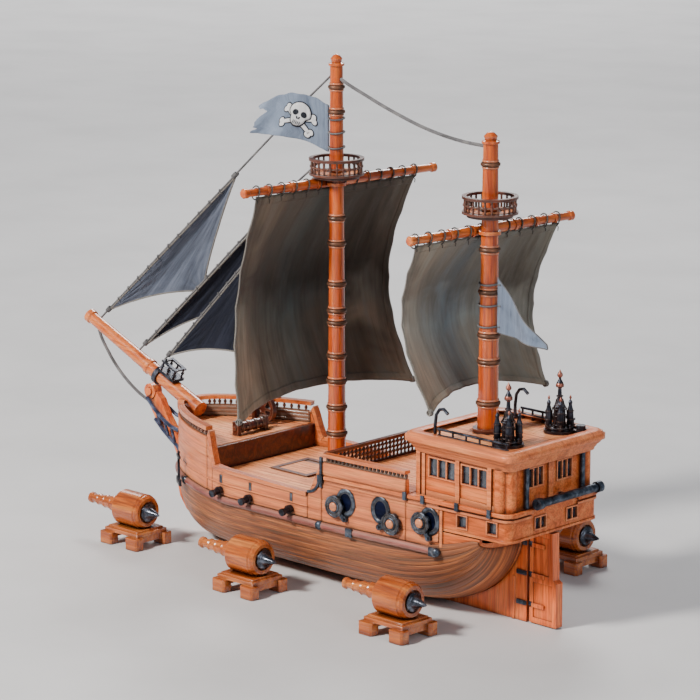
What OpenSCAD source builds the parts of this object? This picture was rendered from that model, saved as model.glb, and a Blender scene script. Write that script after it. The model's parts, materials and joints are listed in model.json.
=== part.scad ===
// Decorative wooden model of a two-masted galleon, with four loose deck guns on stands.
// Frame: bow towards -X, stern towards +X, port side -Y, starboard +Y, +Z up.
// The origin is on the flat underside of the keel, under the main mast.

/* [Hull] */
// Half-breadth of the hull amidships, at the wale
half_beam = 62; // [60:0.5:63]
// Thickness of the planked hull shell
shell_t = 3; // [2.5:0.25:3.5]
// Height of the waist deck
waist_z = 70; // [69:0.5:71]
// Height of the foredeck
fore_z = 88; // [87:0.5:89]
// Height of the quarterdeck
quarter_z = 90; // [89.5:0.5:90.5]
// Height of the poop deck
poop_z = 131; // [130:0.5:131]

/* [Rig] */
// Height of the main mast's top
main_top = 386; // [380:1:390]
// Height of the mizzen mast's top
mizzen_top = 345; // [342:1:348]
// Distance from the main mast to the mizzen mast
mizzen_x = 149; // [148:0.5:150]
// Height of the main yard
main_yard_z = 291; // [290:0.5:291]
// Height of the mizzen yard
mizzen_yard_z = 274; // [272:0.5:276]
// Angle that both yards are braced by, starboard end aft
brace_angle = 5; // [3:0.5:7]
// Radius of the crow's nests
nest_r = 20.3; // [19.5:0.1:21.5]
// Thickness of the cloth of the sails and flags
cloth_t = 1.2; // [1:0.1:1.4]

/* [Fittings] */
// Diameter of a gun port lid
lid_d = 17; // [15:0.5:17]
// Thickness of the rudder and the sternpost
blade_t = 7; // [6:0.5:7.5]
// Diameter of the body of a loose gun
gun_d = 27; // [24:0.5:28]

/* [Hidden] */

// Colours
upper_wood = [0.86, 0.56, 0.40];
lower_wood = [0.68, 0.43, 0.26];
spar_wood = [0.80, 0.38, 0.12];
deck_wood = [0.87, 0.62, 0.48];
red_wood = [0.35, 0.12, 0.08];
keel_wood = [0.75, 0.32, 0.16];
wale_wood = [0.48, 0.20, 0.18];
gun_wood = [0.66, 0.35, 0.16];
iron = [0.20, 0.22, 0.27];
glass = [0.25, 0.32, 0.40];
square_cloth = [0.30, 0.30, 0.30];
jib_cloth = [0.22, 0.25, 0.32];
flag_cloth = [0.36, 0.42, 0.52];
rope = [0.36, 0.36, 0.38];

// Hull lines. x_mid to x_bow is the elliptic bow, aft of x_flat the sides are flat.
x_bow = -165;
x_mid = -50;
x_flat = 50;
x_stern = 186;
side_slope = -0.0745;
side_angle = atan(side_slope);
keel_z = 2;
wale_z = 54;
rise_x = 100;
rise_len = 87;
rise_h = 68;
forefoot_x = -110;
forefoot_len = 56;
forefoot_h = 38;
counter_z = 70;
gallery_x = 151;
bow_cut = -160;

// Breadth of the bow as a share of the full breadth, u from 0 amidships to 1 at the stem
bow_power = 1.5;
function bow_share(u) = pow(max(0, 1 - pow(max(0, u), bow_power)), 1 / bow_power);
// Half-breadth at the wale and above it, grown by g
function beam(x, g = 0) =
    x < x_mid ? (half_beam + g) * bow_share((x - x_mid) / (x_bow - g - x_mid))
    : x < x_flat ? half_beam + g - 2 * pow((x - x_mid) / (x_flat - x_mid), 2)
    : half_beam + g - 2 + side_slope * (x - x_flat);
// Height of the bottom of the hull on the centre line
function floor_z(x) = keel_z
    + (x < forefoot_x
        ? forefoot_h * (1 - sqrt(max(0, 1 - pow((x - forefoot_x) / forefoot_len, 2))))
        : x > rise_x ? rise_h * (1 - sqrt(max(0, 1 - pow((x - rise_x) / rise_len, 2)))) : 0);
// Height at which the section reaches its full breadth
function full_z(x) = wale_z + (x > rise_x ? 13 * pow(min(1, (x - rise_x) / 80), 2) : 0);
// Height of the top edge of the shell
function sheer_z(x) =
    x < -80 ? 97
    : x < -72 ? 97 - 21.5 * (x + 80) / 8
    : x < 30 ? 75.5 - 2.5 * (x + 72) / 102
    : x < 44 ? 73 + 28 * (x - 30) / 14
    : x < 121.5 ? 101
    : x < gallery_x ? quarter_z - 0.5
    : counter_z - 1;
// Fullness of a section, 0 at the keel and 1 at the wale
function fullness(u) = pow(max(0, 1 - pow(1 - u, 2.2)), 0.52);

// Profile of one side of the shell at x, from the keel up, moved inwards by t
levels = [0, 0.01, 0.03, 0.07, 0.13, 0.21, 0.31, 0.43, 0.57, 0.73, 0.88, 1];
function half_section(x, t) =
    let (b = beam(x) - t, z0 = floor_z(x) + t, z1 = max(full_z(x), z0 + 2))
    concat([for (u = levels) [max(0, b * fullness(u)), z0 + u * (z1 - z0)]],
        [[max(0.1, b), max(sheer_z(x), z1 + 0.5)]]);
function shell_loop(x) =
    let (o = half_section(x, 0), i = half_section(x, shell_t), n = len(o))
    concat([for (k = [n - 1:-1:0]) [x, -o[k][0], o[k][1]]],
        [for (k = [1:n - 1]) [x, o[k][0], o[k][1]]],
        [for (k = [n - 1:-1:0]) [x, i[k][0], i[k][1]]],
        [for (k = [1:n - 1]) [x, -i[k][0], i[k][1]]]);
function solid_loop(x) =
    let (o = half_section(x, 0), n = len(o))
    concat([for (k = [n - 1:-1:0]) [x, -o[k][0], o[k][1]]],
        [for (k = [1:n - 1]) [x, o[k][0], o[k][1]]]);
stations = concat([for (a = [73:-5:3]) x_mid + (x_bow - x_mid) * sin(a)],
    [-50, -30, -10, 10, 30, 34, 39, 44, 60, 80, 100, 115, 121.4, 121.6, 135, 150.9, 151.1,
    160, 168, 174, 179, 183, x_stern]);
drop_stations = [for (x = stations) if (x < -81 || x > -71) x];
shell_x = concat([bow_cut], [for (x = drop_stations) if (x > bow_cut + 0.5 && x < -80) x],
    [-80, -78, -76, -74, -72], [for (x = drop_stations) if (x > -72) x]);

all_x = concat([-164.6, -163.5, -162], shell_x);
// Points along one side at the shell's own stations, grown by g
function along(x0, x1, g) = [for (x = all_x) if (x >= x0 && x <= x1) [x, beam(x, g)]];

// Sweeps closed loops of equally many points into one solid
module skin(loops) {
    n = len(loops[0]);
    m = len(loops);
    polyhedron(points = [for (l = loops) each l],
        faces = concat([[for (k = [0:n - 1]) k]], [[for (k = [n - 1:-1:0]) (m - 1) * n + k]],
            [for (i = [0:m - 2], k = [0:n - 1])
                let (a = i * n + k, b = i * n + (k + 1) % n) each
                [[a, b + n, b], [a, a + n, b + n]]]));
}

// Skin whose end caps are strips between two halves of a loop, for U-shaped loops
module u_skin(loops) {
    n = len(loops[0]);
    m = len(loops);
    h = n / 2;
    polyhedron(points = [for (l = loops) each l],
        faces = concat(
            [for (e = [0, 1], k = [0:h - 2]) let (s = e * (m - 1) * n, a = s + k, b = s + k + 1,
                c = s + u_mate(k + 1, h), d = s + u_mate(k, h)) each
                e == 0 ? [[a, b, c], [a, c, d]] : [[a, c, b], [a, d, c]]],
            [for (i = [0:m - 2], k = [0:n - 1])
                let (a = i * n + k, b = i * n + (k + 1) % n) each
                [[a, b + n, b], [a, a + n, b + n]]]));
}
// Point of the inner half of a shell loop that lies across the wall from outer point k
function u_mate(k, h) =
    let (q = (h - 1) / 2)
    k <= q ? (k == q ? h + q : h + 2 * q - k) : h + (h - 1 - k);

// Frame vectors and a swept round tube
function unit(v) = v / norm(v);
function tangent(p, i) = unit(p[min(i + 1, len(p) - 1)] - p[max(i - 1, 0)]);
module tube(path, r, sides = 8, up = [0, 0, 1]) {
    skin([for (i = [0:len(path) - 1])
        let (t = tangent(path, i), a = unit(cross(up, t)), b = cross(t, a),
            ri = is_list(r) ? r[i] : r)
        [for (k = [0:sides - 1]) path[i] + ri * (cos(360 * k / sides) * a
            + sin(360 * k / sides) * b)]]);
}

// Closed slab of cloth from a grid of points, thickened along y or x
module cloth(grid, dir) {
    m = len(grid);
    n = len(grid[0]);
    pts = concat([for (row = grid) each row], [for (row = grid) each [for (p = row) p + dir]]);
    s = m * n;
    polyhedron(points = pts, faces = concat(
        [for (i = [0:m - 2], k = [0:n - 2]) let (a = i * n + k) each
            [[a, a + 1, a + n + 1], [a, a + n + 1, a + n],
            [s + a, s + a + n + 1, s + a + 1], [s + a, s + a + n, s + a + n + 1]]],
        [for (k = [0:n - 2]) let (a = k, b = (m - 1) * n + k) each
            [[a, s + a, s + a + 1], [a, s + a + 1, a + 1],
            [b, s + b + 1, s + b], [b, b + 1, s + b + 1]]],
        [for (i = [0:m - 2]) let (a = i * n, b = i * n + n - 1) each
            [[a, a + n, s + a + n], [a, s + a + n, s + a],
            [b, s + b + n, b + n], [b, s + b, s + b + n]]]));
}

// Outline of a deck or rail band between x0 and x1, inset by g from the side
function side_points(x0, x1, g, n) =
    [for (i = [0:n]) let (x = x0 + (x1 - x0) * i / n) [x, beam(x, g)]];
function bow_points(a0, a1, g, n) =
    [for (i = [0:n]) let (a = a0 + (a1 - a0) * i / n)
        [x_mid + (x_bow - g - x_mid) * sin(a), (half_beam + g) * bow_share(sin(a))]];
module mirrored() {
    children();
    mirror([0, 1, 0]) children();
}
// Closed outline of the plan between two stations, inset by g
module plan(pts) {
    polygon(concat(pts, [for (i = [len(pts) - 1:-1:0]) [pts[i][0], -pts[i][1]]]));
}
// Strip along one side between the insets g0 and g1
module strip(pts0, pts1) {
    polygon(concat(pts0, [for (i = [len(pts1) - 1:-1:0]) pts1[i]]));
}
// Rectangle with rounded corners, centred on y = 0
module round_rect(x0, x1, hw, r, n = 4) {
    polygon(concat(
        [for (i = [0:n]) [x1 - r + r * cos(90 * i / n), hw - r + r * sin(90 * i / n)]],
        [for (i = [0:n]) [x0 + r - r * sin(90 * i / n), hw - r + r * cos(90 * i / n)]],
        [for (i = [0:n]) [x0 + r - r * cos(90 * i / n), -hw + r - r * sin(90 * i / n)]],
        [for (i = [0:n]) [x1 - r + r * sin(90 * i / n), -hw + r - r * cos(90 * i / n)]]));
}
// Places children on the flat port side at x, with local -Y outwards
module on_side(x, z = 0) {
    translate([x, -beam(x), z]) rotate([0, 0, -side_angle]) children();
}
// Straight bar between two points
module bar(a, b, r, fn = 16) {
    v = b - a;
    translate(a) rotate([0, acos(v[2] / norm(v)), atan2(v[1], v[0])])
        cylinder(h = norm(v), r = r, $fn = fn);
}
// Bar of rectangular section along x
module block(x0, x1, y0, y1, z0, z1) {
    translate([x0, y0, z0]) cube([x1 - x0, y1 - y0, z1 - z0]);
}

// ---------------------------------------------------------------- backbone
keel_hw = 8;
post_x0 = 177;
post_x1 = 190;
module side_plate(pts, t) {
    translate([0, t / 2, 0]) rotate([90, 0, 0]) linear_extrude(t) polygon(pts);
}
module keel() color(keel_wood) {
    linear_extrude(keel_z) plan([[-104, 0.5], [-96, 3], [-80, 6], [-60, keel_hw],
        [80, keel_hw], [100, 6], [112, blade_t / 2]]);
    side_plate(concat([[rise_x - 2, 0], [post_x1, 0], [post_x1, counter_z - 1],
        [x_stern, counter_z - 1]],
        [for (i = [len(all_x) - 1:-1:0]) let (x = all_x[i]) if (x >= rise_x) [x, floor_z(x) - 0.03]]),
        blade_t);
    // raised edges of the sternpost
    for (s = [-1, 1]) translate([post_x0, s * (blade_t / 2 + 0.4) - 0.4, 0])
        cube([2.5, 0.8, 32]);
}
module stem_post() color(keel_wood) {
    shell_front = [for (i = [len(all_x) - 1:-1:0]) let (x = all_x[i]) if (x < -103)
        [x, floor_z(x) - 0.03]];
    side_plate(concat(shell_front, [[-164.65, 34], [-164.65, 62], [-168, 70], [-176, 77], [-184, 87],
        [-190, 98], [-196, 103], [-206, 100], [-202, 90], [-196, 81], [-186, 72],
        [-176, 64], [-171, 55], [-170.5, 44], [-171.5, 33], [-169, 24], [-162, 15],
        [-148, 6], [-126, 1.5], [-104, 0]]), blade_t - 1);
    translate([-202, 0, 103]) rotate([90, 0, 0]) cylinder(h = 8, r = 6, center = true, $fn = 32);
    translate([-202, 0, 103]) rotate([90, 0, 0]) cylinder(h = 11, r = 3, center = true, $fn = 24);
}
module bow_block() color(upper_wood) {
    difference() {
        skin([for (x = [-164.6, -163.5, -162, bow_cut]) solid_loop(x)]);
        // seat of the bowsprit
        block(-170, -150, -6.8, 6.8, 94, 120);
    }
}
module hull_planking() color(lower_wood) {
    u_skin([for (x = shell_x) shell_loop(x)]);
}

// ---------------------------------------------------------------- decks
deck_t = 2.5;
break_x = -79;
quarter_x = 42;
inset = -shell_t - 0.2;
module waist_deck() color(deck_wood) {
    difference() {
        translate([0, 0, waist_z - deck_t]) linear_extrude(deck_t)
            plan(concat([[break_x + 2.5, beam(break_x + 2.5, inset - 0.1)]],
                along(break_x + 3, quarter_x - 0.5, inset - 0.1),
                [[quarter_x - 0.1, beam(quarter_x - 0.1, inset - 0.1)]]));
        translate([0, 0, waist_z - deck_t - 1]) cylinder(h = deck_t + 2, r = main_r0, $fn = 48);
    }
}
module upper_decks() color(deck_wood) {
    translate([0, 0, fore_z - deck_t]) linear_extrude(deck_t)
        plan(concat([[-159.6, 0.2]], [for (a = [72:-9:18])
            [x_mid + (x_bow + 3.6 - x_mid) * sin(a), (half_beam + inset - 0.3) * bow_share(sin(a))]],
            [[break_x, beam(break_x, inset)]]));
    translate([0, 0, quarter_z - deck_t]) linear_extrude(deck_t)
        plan(side_points(quarter_x + 2.1, 150.5, inset, 8));
    difference() {
        translate([0, 0, poop_z - deck_t]) linear_extrude(deck_t)
            round_rect(cabin_x0 - 3, cabin_x1 + 4, 46, 3);
        translate([mizzen_x, 0, 0]) cylinder(h = 200, r = mizzen_r0, $fn = 48);
    }
}
module deck_bulkheads() color(red_wood) {
    linear_extrude_at(waist_z - deck_t, fore_z)
        plan(side_points(break_x + 0.1, break_x + 2.4, inset, 1));
    linear_extrude_at(waist_z - deck_t, quarter_z - 0.1)
        plan(side_points(quarter_x, quarter_x + 2, inset, 1));
    for (y = [-44, -22, 0, 22, 44]) block(quarter_x - 1.2, quarter_x, y - 2, y + 2,
        waist_z, quarter_z - 1);
}
module linear_extrude_at(z0, z1) {
    translate([0, 0, z0]) linear_extrude(z1 - z0) children();
}

// ---------------------------------------------------------------- cabin
cabin_x0 = 121;
cabin_x1 = 206;
cabin_hw = 45;
cabin_t = 2.5;
cabin_z0 = quarter_z;
cabin_z1 = poop_z - deck_t;
side_windows = [[147, 24], [177, 23]];
stern_windows = [-15, 16];
window_z0 = 105;
window_z1 = 118;
low_side_windows = [171, 197];
low_stern_windows = [-15, 19];
low_z0 = 75;
low_z1 = 83.5;
module corner_columns(grow = 0) {
    translate([200.2, -cabin_hw + 0.5, cabin_z0]) cylinder(h = 31, r = 4.2 + grow, $fn = 32);
    translate([cabin_x1 - 0.8, -cabin_hw + 5.4, cabin_z0])
        cylinder(h = 31, r = 4.2 + grow, $fn = 32);
}
module cabin_walls() color(upper_wood) {
    difference() {
        linear_extrude_at(cabin_z0, cabin_z1) difference() {
            round_rect(cabin_x0, cabin_x1, cabin_hw, 4);
            round_rect(cabin_x0 + cabin_t, cabin_x1 - cabin_t, cabin_hw - cabin_t, 2);
        }
        for (w = side_windows) block(w[0] - w[1] / 2, w[0] + w[1] / 2, -60, 60,
            window_z0, window_z1);
        for (y = stern_windows) block(200, 220, y - 7.5, y + 7.5, window_z0, window_z1);
        // doorway to the quarterdeck
        block(110, 125, -9, 9, cabin_z0 - 1, 116);
        mirrored() corner_columns(0.02);
    }
}
module cabin_posts() color(upper_wood) {
    mirrored() {
        for (x = [cabin_x0 + 4, 162, 191.5])
            block(x - 1.8, x + 1.8, -cabin_hw - 1.6, -cabin_hw, cabin_z0, 121);
        block(cabin_x0 + 7, cabin_x0 + 10, -cabin_hw - 1, -cabin_hw, cabin_z0, 121);
        for (x = [[132, 160.1], [163.9, 189.6], [193.4, 195.8]])
            block(x[0], x[1], -cabin_hw - 0.7, -cabin_hw, cabin_z0, 94);
        // round double column at the stern corner
        corner_columns();
    }
    block(cabin_x1, cabin_x1 + 1.6, -2, 3, cabin_z0, 121);
    for (s = [-1, 1]) block(cabin_x0 - 1.5, cabin_x0, s * 27 - 2.5, s * 27 + 2.5, cabin_z0, 121);
}
rim_steps = [[121, 124, 1.5], [124, 126.5, 3], [126.5, 128.4, 5], [128.4, 133, 7], [133, 134.5, 5.8]];
module poop_rim() color(upper_wood) {
    difference() {
        union() for (s = rim_steps) linear_extrude_at(s[0], s[1] + 0.01)
            round_rect(cabin_x0 - s[2] + 0.4, cabin_x1 + s[2] + 3, cabin_hw + s[2], 5);
        // seat for the wall tops and the deck
        linear_extrude_at(120, cabin_z1) round_rect(cabin_x0, cabin_x1, cabin_hw, 4);
        linear_extrude_at(cabin_z1, 140) round_rect(cabin_x0 - 3, cabin_x1 + 4, 46, 3);
    }
}

// ---------------------------------------------------------------- stern counter
counter_top = quarter_z - deck_t;
counter_x1 = 211;
function counter_outline(g, r, x0 = gallery_x + 0.6) = concat(
    [[x0, beam(x0, g)]],
    [for (i = [0:4]) [counter_x1 + g - r + r * sin(22.5 * i),
        beam(counter_x1 - r, g) - r + r * cos(22.5 * i)]]);
module counter_windows() {
    for (x = low_side_windows) mirrored() translate([x, -48, (low_z0 + low_z1) / 2])
        cube([8, 20, low_z1 - low_z0], center = true);
    for (y = low_stern_windows) translate([counter_x1, y, (low_z0 + low_z1) / 2 + 0.5])
        cube([20, 11, 8], center = true);
}
module stern_counter() color(upper_wood) {
    difference() {
        union() {
            linear_extrude_at(counter_z, quarter_z) plan(counter_outline(0, 7));
            linear_extrude_at(counter_z, counter_z + 2) plan(counter_outline(0.8, 7.5, 156));
        }
        linear_extrude_at(counter_z + 3, quarter_z - deck_t)
            plan(counter_outline(-shell_t, 5));
        counter_windows();
    }
    block(gallery_x + 0.6, gallery_x + 3, -beam(152, -0.5), beam(152, -0.5),
        counter_z, quarter_z - 0.5);
}

// ---------------------------------------------------------------- windows
module frame_ring(w, h, bars, d = 1.6) {
    // local X across, local Z up, local -Y outwards
    difference() {
        translate([-w / 2 - 1, -0.85, -h / 2 - 1]) cube([w + 2, 0.8, h + 2]);
        translate([-w / 2, -1, -h / 2]) cube([w, 2, h]);
    }
    for (i = [1:bars]) translate([-w / 2 + i * w / (bars + 1) - 0.5, 0, 0]) {
        translate([0, -0.85, -h / 2 - 0.5]) cube([1, 0.8, h + 1]);
        translate([0, -0.1, -h / 2 + 0.02]) cube([1, d - 0.7, h - 0.04]);
    }
}
module window_frames() color(upper_wood * 0.8) {
    mid = (window_z0 + window_z1) / 2;
    high = window_z1 - window_z0;
    mirrored() {
        for (w = side_windows) translate([w[0], -cabin_hw, mid]) frame_ring(w[1], high, 2);
        for (x = low_side_windows) on_side(x, (low_z0 + low_z1) / 2)
            frame_ring(8, low_z1 - low_z0, 0);
    }
    for (y = stern_windows) translate([cabin_x1, y, mid]) rotate([0, 0, 90])
        frame_ring(15, high, 2);
    for (y = low_stern_windows) translate([counter_x1, y, (low_z0 + low_z1) / 2 + 0.5])
        rotate([0, 0, 90]) frame_ring(11, 8, 1);
}
module window_panes() color(glass) {
    mid = (window_z0 + window_z1) / 2;
    high = window_z1 - window_z0;
    mirrored() {
        for (w = side_windows) translate([w[0], -cabin_hw + 1.6, mid])
            cube([w[1], 0.8, high], center = true);
        for (x = low_side_windows) translate([x, -beam(x) + 2.4, (low_z0 + low_z1) / 2])
            cube([8, 0.8, low_z1 - low_z0], center = true);
    }
    for (y = stern_windows) translate([cabin_x1 - 1.6, y, mid])
        cube([0.8, 15, high], center = true);
    for (y = low_stern_windows) translate([counter_x1 - 1.6, y, (low_z0 + low_z1) / 2 + 0.5])
        cube([0.8, 11, 8], center = true);
}

// ---------------------------------------------------------------- rails and mouldings
// Band that follows the side of the hull between two stations
module side_band(x0, x1, g0, g1, z0, z1, n = 8) {
    linear_extrude_at(z0, z1) strip(side_points(x0, x1, g0, n), side_points(x0, x1, g1, n));
}
// Band around the bow from angle a0 to a1 (90 is the stem)
module bow_band(a0, a1, g0, g1, z0, z1, n = 10) {
    linear_extrude_at(z0, z1) strip(bow_points(a0, a1, g0, n), bow_points(a0, a1, g1, n));
}
module wales() color(wale_wood) mirrored() {
    linear_extrude_at(wale_z - 2.3, wale_z + 2.3)
        strip(along(-164.7, 152, 0.06), along(-164.7, 152, 3));
}
module side_mouldings() color(upper_wood) mirrored() {
    // double moulding under the quarterdeck and the cabin
    for (m = [[88.4, 91.2, 2.4], [84.8, 86.8, 1.6]])
        linear_extrude_at(m[0], m[1]) strip(
            concat(side_points(47, 200, 0.06, 4), corner_arc(0.06, 7)),
            concat(side_points(47, 200, m[2], 4), corner_arc(m[2], 7)));
    // two strakes along the waist
    linear_extrude_at(65, 66.4) strip(along(-153, 31, 0.06), along(-153, 31, 1.2));
    // upright edge of the gallery
    on_side(gallery_x + 2, 57.5) translate([-1.3, -1.25, 0]) cube([2.6, 1.2, 27]);
}
function corner_arc(g, r) = concat(
    [for (i = [0:4]) [counter_x1 + g - (r + g) + (r + g) * sin(22.5 * i),
        beam(counter_x1 - r, 0) - r + (r + g) * cos(22.5 * i)]],
    [[counter_x1 + g, 24.5]]);
rail_w = 5.5;
module cap_rails() color(spar_wood) {
    mirrored() {
        // quarterdeck
        side_band(quarter_x + 3, cabin_x0 + 0.3, -4, 1.6, 105, 107.5, 3);
        // waist
        skin([for (i = [0:10]) let (x = -71.5 + 100.5 * i / 10, b = beam(x), z = sheer_z(x) + 0.03)
            rail_loop(x, b, z)]);
        // forecastle drop
        skin([for (p = [[-71.5, 76.6], [-73.5, 80.6], [-75.5, 86], [-77.5, 93], [-80, 100]])
            drop_loop(p[0], beam(p[0]), p[1])]);
        // forecastle rail around the bow
        skin([for (i = [0:12]) let (a = 15.1 + 60.4 * i / 12) head_loop(a)]);
    }
    // timberhead on the starboard rail
    translate([-108, beam(-108, -1.5), 103.2]) {
        translate([-2, -2, 0]) cube([4, 4, 7]);
        translate([-2.6, -2.6, 5]) cube([5.2, 5.2, 2.6]);
    }
}
function head_rail_z(a) = 102 - 4 * pow(max(0, (a - 60) / 30), 2);
function rail_loop(x, b, z) = [[x, -b - 1.6, z], [x, -b + 4, z], [x, -b + 4, z + 3],
    [x, -b - 1.6, z + 3]];
function drop_loop(x, b, z) = [[x + 1, -b + 4, z - 1], [x + 1, -b - 1.6, z - 1],
    [x + 3.4, -b - 1.6, z + 2], [x + 3.4, -b + 4, z + 2]];
function head_loop(a) =
    let (g0 = -4.5, g1 = 1.6, z = head_rail_z(a), p0 = bow_points(a, a, g0, 1)[0],
        p1 = bow_points(a, a, g1, 1)[0])
    [[p0[0], -p0[1], z], [p1[0], -p1[1], z], [p1[0], -p1[1], z + 3.2], [p0[0], -p0[1], z + 3.2]];
module baluster(h) {
    cylinder(h = h, r = 0.75, $fn = 13);
    translate([0, 0, h / 2 - 0.9]) cylinder(h = 1.8, r = 1.25, $fn = 13);
}
module balustrades() color(red_wood) {
    mirrored() {
        // along the quarterdeck, on the bulwark
        side_band(quarter_x + 4, cabin_x0 - 0.5, -2.6, -0.6, 101, 101.8, 2);
        for (x = [quarter_x + 6:3.6:cabin_x0 - 1]) translate([x, -beam(x, -1.6), 101.4])
            baluster(3.6);
        // forecastle openwork
        bow_band(17, 70, -2.8, -0.8, 97, 97.8);
        for (a = [18:3.2:69]) let (p = bow_points(a, a, -1.8, 1)[0]) translate([p[0], -p[1], 97.4])
            baluster(head_rail_z(a) - 97.45);
    }
    // across the break of the quarterdeck
    block(quarter_x - 0.2, quarter_x + 2.2, -54, 54, quarter_z, quarter_z + 1.6);
    block(quarter_x - 0.9, quarter_x + 2.9, -55, 55, 104.6, 107);
    for (y = [-52:4:52]) translate([quarter_x + 1, y, quarter_z + 1.2]) {
        cylinder(h = 13.8, r = 0.8, $fn = 13);
        for (z = [3, 6.5, 10]) translate([0, 0, z]) cylinder(h = 1.6, r = 1.5, $fn = 13);
    }
}

// ---------------------------------------------------------------- gun ports and lids
port_x = [67, 99, 143.2];
port_z = 75;
pivot_drop = 12;
lid_arm = 12;
lid_turn = [-48, 68, -34];
lid_hole_r = 1.06;
module port_ring() {
    rotate([90, 0, 0]) linear_extrude(1.5) difference() {
        polygon([for (a = [0:12:348]) [8.3 * cos(a), 9.7 * sin(a)]]);
        polygon([for (a = [0:12:348]) [6.2 * cos(a), 7.8 * sin(a)]]);
    }
    rotate([90, 0, 0]) linear_extrude(0.4)
        polygon([for (a = [0:12:348]) [6.3 * cos(a), 7.9 * sin(a)]]);
}
module port_frames() color(iron) mirrored() for (x = port_x) on_side(x, port_z) {
    port_ring();
    translate([0, 0, -pivot_drop]) rotate([90, 0, 0]) {
        cylinder(h = 1.7, r = 2.4, $fn = 24);
        cylinder(h = 5, r = 1, $fn = 24);
    }
}
// Scalloped lid on its arm, hung on the pivot of port k
module port_lid(k) {
    on_side(port_x[k], port_z - pivot_drop) rotate([0, lid_turn[k], 0])
        translate([0, -1.9, 0]) rotate([90, 0, 0]) difference() {
            union() {
                translate([0, lid_arm, 0]) {
                    cylinder(h = 1.8, r = lid_d / 2 - 1.6, $fn = 40);
                    for (a = [0:45:315]) rotate(a) translate([lid_d / 2 - 2.4, 0, 0])
                        cylinder(h = 2.2, r = 2.3, $fn = 20);
                    cylinder(h = 3, r = 3.4, $fn = 24);
                }
                translate([-1.6, 0, 0]) cube([3.2, lid_arm - 4, 1.8]);
                cylinder(h = 1.8, r = 2.2, $fn = 24);
            }
            translate([0, 0, -1]) cylinder(h = 4, r = lid_hole_r, $fn = 24);
        }
}
module port_lid_p1() color(iron) port_lid(0);
module port_lid_p2() color(iron) port_lid(1);
module port_lid_p3() color(iron) port_lid(2);
module port_lid_s1() color(iron) mirror([0, 1, 0]) port_lid(0);
module port_lid_s2() color(iron) mirror([0, 1, 0]) port_lid(1);
module port_lid_s3() color(iron) mirror([0, 1, 0]) port_lid(2);
small_gun_x = [-60, -28, 14];
module broadside_guns() color(iron) mirrored() for (x = small_gun_x)
    translate([x, -beam(x, 1.25), 61]) rotate([98, 0, 0]) {
        cylinder(h = 9, r1 = 2.8, r2 = 2.1, $fn = 24);
        translate([0, 0, 8]) cylinder(h = 2, r = 2.8, $fn = 24);
        translate([0, 0, 2]) cylinder(h = 1.5, r = 3.3, $fn = 24);
    }
module side_ironwork() color(iron) mirrored() {
    // straps over the small guns, scuppers between them
    for (x = small_gun_x) translate([x - 1.4, -beam(x, x < -50 ? 1.5 : 1.2), 66.5])
        cube([2.8, 1.1, 6]);
    for (x = [-44, -7]) translate([x - 1.6, -beam(x, 0.65), 67.2]) cube([3.2, 0.6, 3.4]);
    // hance bracket from the quarterdeck rail down to the waist rail
    translate([quarter_x + 0.8, -beam(44, 2), 82]) cube([2.2, 1.9, 22.9]);
    translate([quarter_x - 0.6, -beam(44, 3), 86]) cube([5, 2.9, 5.5]);
    skin([for (a = [0:15:90]) let (x = 30.5 + 12.2 * sin(a), z = 88 - 12 * cos(a),
        n = [-sin(a), cos(a)], b = beam(x))
        [[x, -b - 1.8, z], [x, -b - 0.2, z], [x + 2 * n[0], -b - 0.2, z + 2 * n[1]],
        [x + 2 * n[0], -b - 1.8, z + 2 * n[1]]]]);
    // clips on the moulding under the cabin
    for (x = [122, 138, 168, 196]) on_side(x, 87) translate([-1.5, -3.65, 0])
        cube([3, 1.2, 6]);
    // joint and end cap of the wale
    for (x = [72, 147.5]) on_side(x, wale_z - 3.2) translate([-3, -4.5, 0]) cube([6, 1.4, 6.4]);
}

// ---------------------------------------------------------------- stern ironwork
tube_y = [-22, 42];
tube_x = counter_x1 + 4.9;
tube_z = 95;
hinge_x = 191.5;
gudgeon_z = [14, 36, 58];
module stern_ironwork() color(iron) {
    translate([tube_x, tube_y[0], tube_z]) rotate([-90, 0, 0])
        cylinder(h = tube_y[1] - tube_y[0], r = 3, $fn = 32);
    for (y = tube_y) translate([tube_x, y - 2.5, tube_z]) rotate([-90, 0, 0])
        cylinder(h = 5, r = 4, $fn = 32);
    for (y = [tube_y[0] + 8, 10, tube_y[1] - 8])
        block(cabin_x1 + 1.6, tube_x - 2, y - 1.2, y + 1.2, tube_z - 1.2, tube_z + 1.2);
    for (y = [-26, 34]) translate([cabin_x1 + 2.2, y, 91.2]) cylinder(h = 29.8, r = 1.6, $fn = 24);
    // gudgeons that hold the rudder
    for (z = gudgeon_z) translate([0, 0, z - 1.6]) {
        difference() {
            union() {
                translate([hinge_x, 0, 0]) cylinder(h = 3.2, r = 1.9, $fn = 32);
                translate([post_x1 + 0.05, -1.9, 0]) cube([1.4, 3.8, 3.2]);
            }
            translate([hinge_x, 0, -1]) cylinder(h = 6, r = pintle_r + 0.06, $fn = 32);
            block(180, post_x1 + 0.05, -5, 5, -1, 6);
        }
        strap = z < 50 ? 9 : 3.8;
        mirrored() translate([post_x1 - strap, -blade_t / 2 - 0.85, 0]) cube([strap, 0.8, 3.2]);
    }
}

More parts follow.
